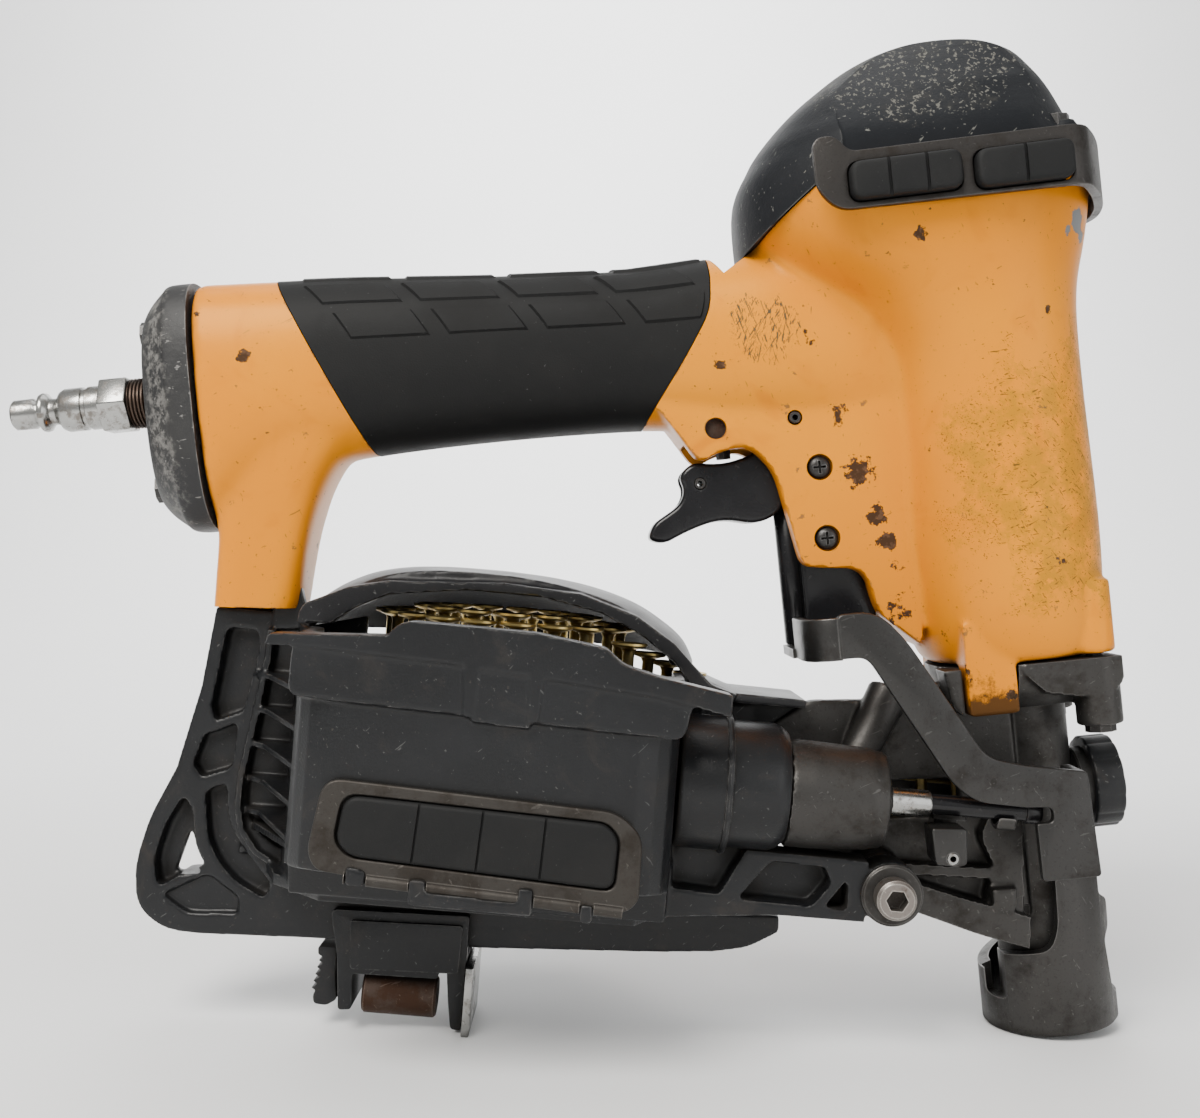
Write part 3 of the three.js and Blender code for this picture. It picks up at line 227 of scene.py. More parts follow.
def spline(rows, t):
    """Catmull-Rom through rows of numbers, t from 0 to 1."""
    place = t * (len(rows) - 1)
    i = min(int(place), len(rows) - 2)
    f = place - i
    before, a, b, after = (rows[max(0, min(len(rows) - 1, k))] for k in (i - 1, i, i + 1, i + 2))
    return [
        0.5 * (2 * q + (r - p) * f + (2 * p - 5 * q + 4 * r - s) * f**2 + (3 * q - p - 3 * r + s) * f**3)
        for p, q, r, s in zip(before, a, b, after)
    ]


def loft(axis, sections, sides=72, rings=48):
    """A smooth body through superellipses: (position, centre 1, centre 2, half 1, half 2, power)."""
    verts = []
    for k in range(rings + 1):
        at, c1, c2, half1, half2, power = spline(sections, k / rings)
        for j in range(sides):
            angle = 2 * math.pi * j / sides
            p = c1 + half1 * math.copysign(abs(math.cos(angle)) ** (2 / power), math.cos(angle))
            q = c2 + half2 * math.copysign(abs(math.sin(angle)) ** (2 / power), math.sin(angle))
            verts.append({"x": (at, p, q), "y": (p, at, q), "z": (p, q, at)}[axis])
    faces = [list(range(sides))[::-1], [rings * sides + j for j in range(sides)]]
    for k in range(rings):
        for j in range(sides):
            a, b = k * sides + j, k * sides + (j + 1) % sides
            faces.append([a, b, b + sides, a + sides])
    return mesh_object("loft", verts, faces)


def rod(radius, start, end, sides=32, taper=1.0):
    start, end = Vector(start), Vector(end)
    made = lathe([(0, 0), (radius, 0), (radius * taper, 1), (0, 1)], "z", sides)
    along = end - start
    turn = Vector((0, 0, 1)).rotation_difference(along).to_matrix().to_4x4()
    made.data.transform(Matrix.Translation(start) @ turn @ Matrix.Diagonal((1, 1, along.length, 1)))
    return made


def turned_by(obj, degrees, axis, about=(0, 0, 0)):
    move = Matrix.Translation(Vector(about))
    obj.data.transform(move @ Matrix.Rotation(math.radians(degrees), 4, axis) @ move.inverted())
    return obj


def moved(obj, x=0, y=0, z=0):
    obj.data.transform(Matrix.Translation((x, y, z)))
    return obj


def copied(obj):
    twin = bpy.data.objects.new(obj.name, obj.data.copy())
    bpy.context.scene.collection.objects.link(twin)
    return twin


def mirrored(obj):
    """The same shape on the other side of the y = 0 plane."""
    twin = copied(obj)
    twin.data.transform(Matrix.Scale(-1, 4, (0, 1, 0)))
    twin.data.flip_normals()
    return twin


def seen_from(target, source, obj):
    """Moves a shape drawn in one frame to where another frame sees it."""
    obj.data.transform(target.inverted() @ source)
    return obj


def piece(name, obj, space, body, material, nodes=(), smooth=38):
    """Makes a drawn shape part of the object: in metres, on its body, with its finish."""
    obj.name = name
    obj.data.name = name
    obj.data.transform(space)
    obj.data.materials.clear()
    obj.data.materials.append(material)
    obj.data.shade_smooth()
    obj.data.set_sharp_from_angle(angle=math.radians(smooth))
    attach(obj, body)
    if nodes:
        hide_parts(*nodes)
    return obj


# ---------------------------------------------------------------- material helpers

class Finish:
    """A node material whose layers are mixed over a base colour by masks."""

    def __init__(self, name, colour, roughness, metallic=0.0, coat=0.0, specular=0.3):
        self.material = bpy.data.materials.new(name)
        self.material.use_nodes = True
        self.nodes = self.material.node_tree.nodes
        self.links = self.material.node_tree.links
        self.shader = self.nodes["Principled BSDF"]
        self.shader.inputs["Metallic"].default_value = metallic
        self.shader.inputs["Specular IOR Level"].default_value = specular
        self.shader.inputs["Coat Weight"].default_value = coat
        self.shader.inputs["Coat Roughness"].default_value = 0.25
        self.place = self.nodes.new("ShaderNodeTexCoord").outputs["Object"]
        self.colour = self.constant(colour)
        self.rough = roughness
        self.height = None

    def constant(self, colour):
        return (*colour, 1.0)

    def link(self, value, socket):
        if isinstance(value, bpy.types.NodeSocket):
            self.links.new(value, socket)
        else:
            socket.default_value = value

    def stretched(self, scale, turn=(0, 0, 0)):
        node = self.nodes.new("ShaderNodeMapping")
        node.vector_type = "TEXTURE"
        node.inputs["Rotation"].default_value = [math.radians(angle) for angle in turn]
        node.inputs["Scale"].default_value = [1 / share for share in scale]
        self.links.new(self.place, node.inputs["Vector"])
        return node.outputs["Vector"]

    def noise(self, per_metre, detail=4.0, roughness=0.55, vector=None, warp=0.0):
        node = self.nodes.new("ShaderNodeTexNoise")
        node.inputs["Scale"].default_value = per_metre
        node.inputs["Detail"].default_value = detail
        node.inputs["Roughness"].default_value = roughness
        node.inputs["Distortion"].default_value = warp
        self.links.new(vector or self.place, node.inputs["Vector"])
        return node.outputs["Fac"]

    def level(self, space, axis):
        """One coordinate of a place in a tilted frame, in millimetres."""
        row = space.inverted()[axis]
        along = self.nodes.new("ShaderNodeVectorMath")
        along.operation = "DOT_PRODUCT"
        self.links.new(self.place, along.inputs[0])
        along.inputs[1].default_value = row[:3]
        return self.math("ADD", along.outputs["Value"], row[3])

    def both(self, *masks):
        """The product of masks or numbers."""
        result = masks[0]
        for mask in masks[1:]:
            result = self.math("MULTIPLY", result, mask)
        return result

    def lines(self, turn, low, along=110, across=1400, width=0.02):
        """Thin scratches running one way."""
        streaks = self.noise(1, 2, vector=self.stretched((across, across, along), turn))
        return self.step(streaks, low, low + width)

    def step(self, value, low, high):
        """0 below low, 1 above high; low may be the larger one."""
        node = self.nodes.new("ShaderNodeMapRange")
        node.interpolation_type = "SMOOTHSTEP"
        node.inputs["From Min"].default_value = low
        node.inputs["From Max"].default_value = high
        self.link(value, node.inputs["Value"])
        return node.outputs["Result"]

    def math(self, operation, a, b=0.0):
        node = self.nodes.new("ShaderNodeMath")
        node.operation = operation
        self.link(a, node.inputs[0])
        self.link(b, node.inputs[1])
        return node.outputs[0]

    def near(self, point, radius, ragged=0.5, per_metre=260):
        """1 within a ragged blot about a point of the row frame, in metres."""
        away = self.nodes.new("ShaderNodeVectorMath")
        away.operation = "DISTANCE"
        self.links.new(self.place, away.inputs[0])
        away.inputs[1].default_value = point
        rough = self.math("MULTIPLY", self.noise(per_metre, 5, 0.7), 2 * ragged * radius)
        spread = self.math("ADD", away.outputs["Value"], rough)
        return self.step(spread, radius * (1 + ragged), radius * (0.92 + ragged))

    def edges(self, width=0.5, low=0.985, high=0.9):
        """1 on edges: where the normal changes within that many millimetres."""
        bevel = self.nodes.new("ShaderNodeBevel")
        bevel.samples = 4
        bevel.inputs["Radius"].default_value = width * MM
        plain = self.nodes.new("ShaderNodeNewGeometry")
        same = self.nodes.new("ShaderNodeVectorMath")
        same.operation = "DOT_PRODUCT"
        self.links.new(bevel.outputs["Normal"], same.inputs[0])
        self.links.new(plain.outputs["Normal"], same.inputs[1])
        return self.step(same.outputs["Value"], low, high)

    def hollows(self, reach, low=0.75, high=0.35):
        """1 in recesses, where other surfaces stand within that many millimetres; it marks where shade is painted."""
        node = self.nodes.new("ShaderNodeAmbientOcclusion")
        node.samples = 4
        node.inputs["Distance"].default_value = reach * MM
        return self.step(node.outputs["AO"], low, high)

    def lay(self, mask, colour, roughness=None):
        mix = self.nodes.new("ShaderNodeMix")
        mix.data_type = "RGBA"
        self.link(mask, mix.inputs[0])
        self.link(self.colour, mix.inputs[6])
        self.link(self.constant(colour) if isinstance(colour, tuple) else colour, mix.inputs[7])
        self.colour = mix.outputs[2]
        if roughness is not None:
            blend = self.nodes.new("ShaderNodeMix")
            self.link(mask, blend.inputs[0])
            self.link(self.rough, blend.inputs[2])
            self.link(roughness, blend.inputs[3])
            self.rough = blend.outputs[0]

    def raise_by(self, value, amount):
        scaled = self.math("MULTIPLY", value, amount)
        self.height = scaled if self.height is None else self.math("ADD", self.height, scaled)

    def done(self, bump=0.4, metallic=None):
        self.link(self.colour, self.shader.inputs["Base Color"])
        self.link(self.rough, self.shader.inputs["Roughness"])
        if metallic is not None:
            self.link(metallic, self.shader.inputs["Metallic"])
        if self.height is not None:
            node = self.nodes.new("ShaderNodeBump")
            node.inputs["Strength"].default_value = bump
            node.inputs["Distance"].default_value = MM
            self.links.new(self.height, node.inputs["Height"])
            self.links.new(node.outputs["Normal"], self.shader.inputs["Normal"])
        return self.material


def head_point(x, y, z):
    return HEAD @ Vector((x, y, z))


# ---------------------------------------------------------------- materials

# Paint damage on the housing's near side, in head millimetres: (x, y, z, radius).
BARE_PATCHES = [(20, -26, 213, 3.4), (23, -23, 209, 2.8), (17, -30, 210, 2.0)]
BROWN_CHIPS = [
    (-63, -20, 213, 1.7),
    (-52, -22, 190, 2.4),
    (-75, -19, 186, 1.2),
    (-45, -16, 170, 2.4),
    (-41, -14, 154, 3.6),
    (-37, -14, 142, 2.4),
    (-35, -15, 135, 2.4),
    (-33, -16, 128, 2.0),
    (-14, -31, 129, 1.4),
    (-24, -38, 211, 1.5),
    (8, -30, 190, 1.3),
    (-200, -19, 200, 1.5),
    (-206, -16, 160, 1.4),
    (-212, -18, 214, 1.6),
    (-34, -19, 117, 4.5),
    (-29, -23, 108, 5.0),
    (-23, -26, 99, 3.5),
    (-9, -26, 92, 1.6),
    (6, -31, 126, 1.4),
    (14, -30, 170, 1.2),
]
SCRATCHED = (-62, -20, 194, 9.5)
RUBBED = (22, -22, 148, 42)


def painted_metal():
    paint = Finish("chipped yellow paint", (0.68, 0.218, 0.0), 0.34, coat=0.05, specular=0.3)
    paint.shader.inputs["Specular Tint"].default_value = (1.0, 0.62, 0.2, 1.0)
    paint.lay(paint.step(paint.noise(14, 2), 0.42, 0.66), (0.72, 0.250, 0.0), 0.38)
    paint.lay(paint.step(paint.noise(38, 3, warp=1.5), 0.55, 0.75), (0.62, 0.190, 0.0), 0.42)
    paint.raise_by(paint.noise(900, 2), 0.05)
    x, y, z, radius = RUBBED
    rubbed = paint.near(head_point(x, y, z), radius * MM, 0.9, 60)
    smeared = paint.both(rubbed, paint.step(paint.noise(120, 5, 0.7), 0.40, 0.62), 0.7)
    paint.lay(smeared, (0.36, 0.165, 0.006), 0.5)
    x, y, z, radius = SCRATCHED
    cluster = paint.near(head_point(x, y, z), radius * MM, 0.7, 120)
    for turn, low in [((8, 12, 0), 0.60), ((-14, -14, 30), 0.61), ((4, 34, 0), 0.63)]:
        paint.lay(paint.both(cluster, paint.lines(turn, low, 110, 2300)), (0.07, 0.055, 0.035), 0.6)
    for turn, low in [((0, 62, 10), 0.66), ((20, -38, 0), 0.66), ((0, -58, 30), 0.67), ((0, 84, 0), 0.67)]:
        paint.lay(paint.both(rubbed, paint.lines(turn, low, 240, 2000), 0.9), (0.07, 0.045, 0.015), 0.65)
    for turn, low in [((0, 62, 10), 0.735), ((20, -28, 0), 0.735), ((0, 8, 30), 0.75)]:
        paint.lay(paint.both(paint.lines(turn, low), 0.8), (0.12, 0.07, 0.03), 0.7)
    paint.lay(paint.step(paint.noise(620, 3, 0.7), 0.69, 0.71), (0.055, 0.035, 0.022), 0.75)
    worn = paint.both(paint.step(paint.noise(170, 6, 0.75), 0.655, 0.67), 0.8)
    paint.lay(worn, (0.13, 0.075, 0.04), 0.7)
    chips = None
    for x, y, z, radius in BROWN_CHIPS:
        mask = paint.near(head_point(x, y, z), radius * MM, 2.0, 400)
        chips = mask if chips is None else paint.math("MAXIMUM", chips, mask)
    tone = paint.noise(500, 3)
    paint.lay(chips, (0.040, 0.020, 0.013), 0.8)
    paint.lay(paint.both(chips, paint.step(tone, 0.5, 0.6)), (0.085, 0.045, 0.028), 0.8)
    paint.raise_by(chips, -0.25)
    bare = None
    for x, y, z, radius in BARE_PATCHES:
        mask = paint.near(head_point(x, y, z), radius * MM, 0.7, 300)
        bare = mask if bare is None else paint.math("MAXIMUM", bare, mask)
    paint.lay(bare, (0.16, 0.17, 0.18), 0.42)
    paint.raise_by(bare, -0.25)
    paint.lay(paint.both(paint.edges(0.7), paint.step(paint.noise(220, 4), 0.5, 0.6)), (0.12, 0.07, 0.04), 0.6)
    height = paint.math("ADD", paint.level(HEAD, 2), paint.both(paint.noise(120, 6, 0.75), 44))
    low_down = paint.step(height, 120, 112)
    off_leg = paint.step(paint.level(HEAD, 0), -110, -90)
    paint.lay(paint.both(low_down, off_leg, 0.92), (0.014, 0.011, 0.009), 0.85)
    # painted shade: recesses darkened brown
    paint.lay(paint.both(paint.hollows(3.0, 0.7, 0.35), 0.75), (0.05, 0.028, 0.014), 0.8)
    return paint.done(0.5)


def moulded_plastic(name, colour, roughness, dust_and_shade, scuffs_and_highlight, grain=0.12):
    plastic = Finish(name, colour, roughness)
    plastic.lay(plastic.step(plastic.noise(45, 4), 0.4, 0.7), tuple(c * 1.3 for c in colour), roughness + 0.08)
    dirt = plastic.both(plastic.step(plastic.noise(75, 6, 0.7, warp=0.6), 0.52, 0.75), dust_and_shade * 0.6)
    plastic.lay(dirt, (0.045, 0.035, 0.027), 0.8)
    grit = plastic.both(plastic.step(plastic.noise(800, 3, 0.7), 0.66, 0.72), dust_and_shade * 0.5)
    plastic.lay(grit, (0.10, 0.085, 0.07), 0.9)
    for turn in [(0, 50, 15), (30, -40, 0)]:
        plastic.lay(plastic.both(plastic.lines(turn, 0.71, 120, 1100, 0.03), scuffs_and_highlight), (0.16, 0.16, 0.155), 0.7)
    ragged = plastic.step(plastic.noise(260, 5, 0.7), 0.42, 0.6)
    # lighter ragged edges: partly scuffed wear, partly painted highlight where edges catch the light
    plastic.lay(plastic.both(plastic.edges(0.6), ragged, scuffs_and_highlight), (0.22, 0.215, 0.205), 0.5)
    # painted shade: recesses darkened to near-black
    plastic.lay(plastic.both(plastic.hollows(6, 0.75, 0.3), min(1.0, dust_and_shade * 1.6)), (0.012, 0.010, 0.008), 0.85)
    plastic.raise_by(plastic.noise(1500, 2), grain)
    return plastic.done(0.5)


def scuffed_cap():
    cap = Finish("scuffed black cap", (0.009, 0.010, 0.012), 0.46, specular=0.1)
    cap.lay(cap.step(cap.noise(30, 4), 0.4, 0.7), (0.013, 0.014, 0.016), 0.52)
    top = cap.near(head_point(-18, -16, 266), 0.030, 0.6, 60)
    haze = cap.step(cap.noise(70, 8, 0.75), 0.47, 0.7)
    cap.lay(cap.both(haze, top, 0.5), (0.045, 0.043, 0.037), 0.8)
    forward = cap.lines((0, -25, 20), 0.60, 60, 900, 0.06)
    streaks = cap.math("MAXIMUM", forward, cap.lines((0, 20, 0), 0.62, 60, 900, 0.06))
    cap.lay(cap.both(streaks, top, 0.6), (0.17, 0.165, 0.145), 0.8)
    for turn, low in [((0, 35, 20), 0.70), ((15, -55, 0), 0.71), ((40, 10, 60), 0.72)]:
        cap.lay(cap.both(cap.lines(turn, low, 130, 900, 0.03), 0.6), (0.20, 0.20, 0.18), 0.7)
    cap.lay(cap.both(cap.step(cap.noise(620, 2, 0.7), 0.76, 0.78), 0.6), (0.16, 0.16, 0.14), 0.7)
    cap.lay(cap.both(cap.edges(0.6), cap.step(cap.noise(200, 4), 0.4, 0.6), 0.5), (0.14, 0.14, 0.13), 0.6)
    cap.raise_by(cap.noise(420, 5, 0.7), 0.3)
    return cap.done(0.5)


def scuffed_end():
    end = Finish("scuffed end cap", (0.014, 0.014, 0.015), 0.45)
    end.lay(end.step(end.noise(40, 4), 0.4, 0.7), (0.022, 0.022, 0.022), 0.55)
    rim = end.math("ADD", end.level(HEAD, 0), end.both(end.noise(150, 6, 0.75), 14))
    chamfer = end.both(end.step(rim, -223, -218), end.step(rim, -212, -216))
    rubbed = end.step(end.noise(320, 6, 0.75), 0.44, 0.6)
    end.lay(end.both(chamfer, rubbed, 0.75), (0.17, 0.165, 0.155), 0.75)
    for turn in [(0, 80, 15), (30, -60, 0)]:
        end.lay(end.both(end.lines(turn, 0.69, 120, 1000, 0.03), 0.8), (0.16, 0.155, 0.15), 0.7)
    end.lay(end.both(end.edges(0.6), end.step(end.noise(250, 4), 0.4, 0.55), 0.8), (0.2, 0.195, 0.185), 0.6)
    end.raise_by(end.noise(500, 5, 0.7), 0.3)
    return end.done(0.5)


def worn_steel(name, colour, stain, roughness=0.42, stained=0.5, scale=90, edge=0.7, painted_shade=0.7):
    steel = Finish(name, colour, roughness, metallic=0.85)
    blotch = steel.step(steel.noise(scale, 6, 0.7), 0.62 - stained * 0.25, 0.85 - stained * 0.25)
    steel.lay(steel.both(blotch, 0.8), stain, 0.62)
    fine = steel.step(steel.noise(1300, 3, 0.7), 0.55, 0.7)
    steel.lay(steel.both(fine, 0.35), tuple(c * 0.45 for c in colour), 0.6)
    for turn in [(0, 70, 15), (20, -30, 0)]:
        steel.lay(steel.both(steel.lines(turn, 0.69, 110, 1200, 0.03), 0.5), tuple(c * 2.2 for c in colour), 0.35)
    # lighter edges: partly worn bare metal, partly painted highlight along edges
    steel.lay(steel.both(steel.edges(0.5), edge), tuple(min(0.6, c * 3.2) for c in colour), 0.3)
    # painted shade: recesses and gaps between parts darkened to near-black
    steel.lay(steel.both(steel.hollows(5, 0.75, 0.3), painted_shade), (0.012, 0.010, 0.008), 0.85)
    steel.raise_by(steel.noise(900, 4, 0.7), 0.12)
    return steel.done(0.5)


def rubber(name="black rubber", shade=0.022):
    soft = Finish(name, (shade, shade * 1.03, shade * 1.06), 0.58, specular=0.16)
    soft.lay(soft.step(soft.noise(60, 4), 0.45, 0.7), (shade * 1.4,) * 3, 0.7)
    soft.lay(soft.both(soft.step(soft.noise(1200, 2, 0.7), 0.72, 0.75), 0.6), (0.08, 0.08, 0.08), 0.8)
    soft.raise_by(soft.noise(2200, 2), 0.1)
    return soft.done(0.45)


def plated_steel():
    plug = Finish("plated steel", (0.34, 0.34, 0.33), 0.24, metallic=1.0)
    plug.lay(plug.step(plug.noise(300, 4, 0.7), 0.48, 0.66), (0.17, 0.155, 0.14), 0.4)
    # painted shade: recesses of the plated steel darkened
    plug.lay(plug.both(plug.hollows(4), 0.8), (0.03, 0.028, 0.026), 0.6)
    plug.raise_by(plug.noise(1500, 2), 0.05)
    return plug.done(0.4)


def zinc_nails():
    nail = Finish("yellow zinc", (0.56, 0.42, 0.16), 0.28, metallic=1.0)
    nail.lay(nail.step(nail.noise(220, 4, 0.7), 0.45, 0.7), (0.36, 0.29, 0.13), 0.40)
    nail.lay(nail.step(nail.noise(90, 3), 0.55, 0.75), (0.30, 0.20, 0.09), 0.5)
    # painted shade: nails deeper in the coil and between others darkened
    nail.lay(nail.both(nail.hollows(14, 0.6, 0.15), 0.9), (0.020, 0.014, 0.008), 0.7)
    nail.raise_by(nail.noise(1800, 2), 0.05)
    return nail.done(0.4)


PAINT = painted_metal()
PLASTIC = moulded_plastic("magazine plastic", (0.0055, 0.006, 0.007), 0.36, 0.5, 0.3)
TRIGGER_PLASTIC = moulded_plastic("trigger plastic", (0.006, 0.006, 0.007), 0.22, 0.08, 0.12, 0.05)
CAP = scuffed_cap()
END_PLASTIC = scuffed_end()
GRIP = rubber("grip rubber", 0.0065)
PAD = rubber("pad rubber", 0.009)
STEEL = worn_steel("blackened steel", (0.046, 0.045, 0.044), (0.026, 0.023, 0.021), 0.36, 0.5, edge=0.9)
BAND = worn_steel("skid band steel", (0.044, 0.041, 0.039), (0.026, 0.022, 0.019), 0.42, 0.6, edge=0.9)
WEAR = worn_steel("browned wear plate", (0.048, 0.044, 0.040), (0.028, 0.023, 0.019), 0.52, 0.8)
RUSTY = worn_steel("rusty steel", (0.070, 0.050, 0.040), (0.050, 0.024, 0.014), 0.6, 1.0, 160)
FOOT_STEEL = worn_steel("worn foot steel", (0.054, 0.052, 0.050), (0.027, 0.024, 0.022), 0.42, 0.6, edge=0.9)
SOCKET = worn_steel("socket screw", (0.20, 0.18, 0.165), (0.07, 0.045, 0.034), 0.42, 0.5, 300)
LID = moulded_plastic("lid plastic", (0.006, 0.006, 0.007), 0.36, 0.3, 0.4)
CASTING = worn_steel("dark casting", (0.050, 0.048, 0.046), (0.026, 0.023, 0.020), 0.45, 0.6, painted_shade=0.35)
PLATED = plated_steel()
ZINC = zinc_nails()

NODE_MATERIALS = {
    "yellow_paint": PAINT,
    "black_plastic": PLASTIC,
    "black_rubber": PAD,
    "dark_casting": CASTING,
    "dark_steel": STEEL,
    "bright_steel": PLATED,
    "yellow_zinc": ZINC,
}
SLOT_OF = {part["node"]: part["material_slot"] for part in frame["record"]["subparts"]}


def dress_frame():
    """Every CAD node gets its slot's material, or a finish of its own for a few nodes."""
    special = {"trigger_body": TRIGGER_PLASTIC, "trip_pusher": TRIGGER_PLASTIC, "trip_guide": TRIGGER_PLASTIC,
               "valve_stem": CASTING, "trigger_valve_body": CASTING, "nose_screw_1": CASTING,
               "nose_screw_2": CASTING}
    for name, node in frame["nodes"].items():
        node.data.materials.clear()
        node.data.materials.append(special.get(name, NODE_MATERIALS[SLOT_OF[name]]))


# ---------------------------------------------------------------- housing and what sits on it (head frame)

HANDLE = [
    (-214.3, 0, 189.8, 20, 33.6, 3),
    (-207, 0, 191.5, 19.5, 31.5, 2.8),
    (-195, 0, 195.5, 19, 27, 2.6),
    (-172, 0, 196.6, 18.2, 24.6, 2.5),
    (-135, 0, 195.6, 17.6, 22.6, 2.5),
    (-97, 0, 194, 17.6, 22, 2.5),
    (-75, 0, 193, 19, 24, 2.5),
    (-55, 0, 193, 20, 26, 2.4),
]
# The handle's root, narrowing into the barrel so that a soft valley is left between them.
ROOT = [
    (-38, 0, 192, 18, 29, 2.2),
    (-15, 0, 190, 16, 26, 2.2),
]
BARREL = [
    (100.3, -1, 0, 23.5, 26, 2.3),
    (112, -2.6, 0, 25.8, 29.5, 2.3),
    (135, -2.9, 0, 26.8, 31.5, 2.3),
    (175, -3.1, 0, 26.1, 32, 2.3),
    (196, -7.4, 0, 31.1, 34.5, 2.3),
    (210, -14.5, 0, 41.5, 38, 2.4),
    (221, -17.6, 0, 46.8, 40.4, 2.4),
    (229, -18, 0, 48, 41, 2.4),
]
LEG = [
    (131, -206.6, 0, 11.8, 13.2, 5),
    (145, -203.6, 0, 12.3, 13.6, 5),
    (156, -201, 0, 13.2, 14, 5),
    (167, -198.5, 0, 16.2, 15, 4),
    (180, -193, 0, 21.5, 16, 3.5),
]
SEAM_Z = 229
SEAM_BACK = -44.5


def under_seam(low, grow=0.0):
    """The wedge-topped region below the joint between housing and cap."""
    return prism([(-120, low), (60, low), (60, SEAM_Z + grow), (SEAM_BACK, SEAM_Z + grow),
                  (SEAM_BACK - 27, SEAM_Z - 18.4 + grow), (-82, SEAM_Z + grow), (-240, SEAM_Z + grow),
                  (-240, low)], -70, 70)


def grip_zone(grow):
    """The grip's slanted ends, as seen from the side, grown by a clearance."""
    return prism([(-194.5 - grow, 232), (-194.5 - grow, 228), (-166 - grow, 164), (-103 + grow, 164),
                  (-84 + grow, 189, 6), (-76.5 + grow, 200.5, 5), (-75.5 + grow, 210), (-75.5 + grow, 232)],
                 -40, 40)


def thinner(sections, by):
    return [(x, cy, cz, b - by, c - by, n) for x, cy, cz, b, c, n in sections]


def housing():
    cheeks = prism([(-94, 178), (-90, 172.5, 5), (-82.8, 160.6, 3), (-77, 163.6, 4), (-69, 164.2, 3),
                    (-63, 157, 4), (-60, 141, 3), (-58.1, 130.4, 3), (-41.8, 128.4, 4), (-39, 116, 3),
                    (-28, 106), (-24, 190), (-66, 190)], -14.4, 14.4)
    cheek_core = prism([(-82, 172, 6), (-66, 170, 6), (-54, 156, 8), (-50, 138, 6), (-30, 132), (-20, 132), (-20, 200),
                        (-82, 200)], -14, 14)
    tongues = [block(-20, -7, y - 4.4, y + 4.4, 87.4, 112) for y in (-21, 21)]
    bosses = [disc(5.6, 100.8, 120, "z", 32, (15, y, 0)) for y in (-20, 20)]
    slot = prism([(-92, 140), (-92, 163), (-83, 168), (-66, 168), (-62, 178.5), (-46, 178.5), (-40.8, 166),
                  (-40.8, 110), (-75, 110)], -8.2, 8.2)
    valve_bore = disc(8.3, 150, 184, "z", 48, (-75, 0, 0))
    leg_end = prism([(-230, 124), (-190, 124), (-190, 132), (-230, 136.8)], -30, 30)
    flowing = fused([loft("z", BARREL), loft("x", HANDLE + ROOT, 72, 60), loft("z", LEG, 72, 32), cheek_core], 1.1, 30)
    body = fused([flowing, cheeks] + tongues + bosses, 0.9, 5, [slot, valve_bore, leg_end])
    trimmed = carved(body, under_seam(40), operation="INTERSECT")
    seat = carved(carved(loft("x", thinner(HANDLE, -1.5)), grip_zone(0.3), operation="INTERSECT"),
                  loft("x", thinner(HANDLE, 2.4)))
    bore = lathe([(0, 90), (21.4, 90), (21.4, 205.8), (24.4, 205.8), (24.4, 245), (0, 245)], "z", 64)
    chamber = loft("x", [(-216, 0, 190, 15.5, 28, 2.6), (-195, 0, 196, 14, 21.5, 2.6),
                         (-97, 0, 195, 12.8, 16.8, 2.6), (-30, 0, 196, 12.5, 15, 2.6)], 48, 20)
    screw_seats = [disc(r, low, high, "y", 32, (x, 0, z)) for x, z in TRIP_SCREWS
                   for r, low, high in [(3.5, -20, -12.6), (2.1, -13, -8)]]
    pin_holes = [disc(2.0, -30, 30, "y", 32, (-56.3, 0, 170.4)), disc(2.9, -30, -9, "y", 32, (-77.6, 0, 169.6))]
    return carved(trimmed, seat, bore, chamber, *screw_seats, *pin_holes)


TRIP_SCREWS = [(-51, 156.6), (-50.8, 137.5)]


def head_cap():
    """A dome with a flat facet on each side, an ear for a screw at each front corner and vents in front."""
    dome = loft("z", [(206, -18, 0, 48, 41, 2.4), (SEAM_Z, -18, 0, 48, 41, 2.4), (239.3, -17.5, 0, 44, 39.3, 2.3),
                      (245.8, -16, 0, 40.5, 36.5, 2.2), (252.4, -14, 0, 35.5, 33, 2.2), (258, -11.8, 0, 30.2, 28.6, 2.1),
                      (262.7, -9.9, 0, 24.6, 23.4, 2.1), (266.4, -8.7, 0, 17.3, 16.5, 2), (268.2, -8.7, 0, 7.5, 8, 2)],
                96, 96)
    facets = []
    for side in (-1, 1):
        plane = prism([(side * 36.6, 224), (side * 36.6, 237, 5), (side * 20, 259, 8), (side * 11, 271),
                       (side * 70, 271), (side * 70, 224)], -42, 19, "x")
        for vert in plane.data.vertices:
            if vert.co.x > 0:
                vert.co.x -= 0.5 * (vert.co.z - 240)
        facets.append(bevelled(plane, 2.2, 4))
    ears = [lathe([(0, 222), (3.6, 222), (3.6, 237), (2.8, 238.4), (1.5, 238.6), (1.3, 236.8), (0, 236.8)], "z", 40,
                  (18, y, 0)) for y in (-27, 27)]
    shell = carved(carved(dome, *facets), *ears, operation="UNION")
    shell = carved(shell, under_seam(180, 0.35))
    hollow = loft("z", [(206, -18, 0, 43, 34, 2.4), (238, -17.2, 0, 39.5, 32, 2.3), (246, -15.6, 0, 35, 26, 2.2),
                        (254, -12.6, 0, 26, 19, 2.1)], 48, 24)
    vents = [block(22, 50, y - 1.5, y + 1.5, 236, 245) for y in (-12, -6, 0, 6, 12)]
    return carved(shell, hollow, *vents)


def grip():
    sleeve = carved(carved(loft("x", HANDLE, 96, 90), grip_zone(0), operation="INTERSECT"),
                    loft("x", thinner(HANDLE, 2.1)))
    return sleeve


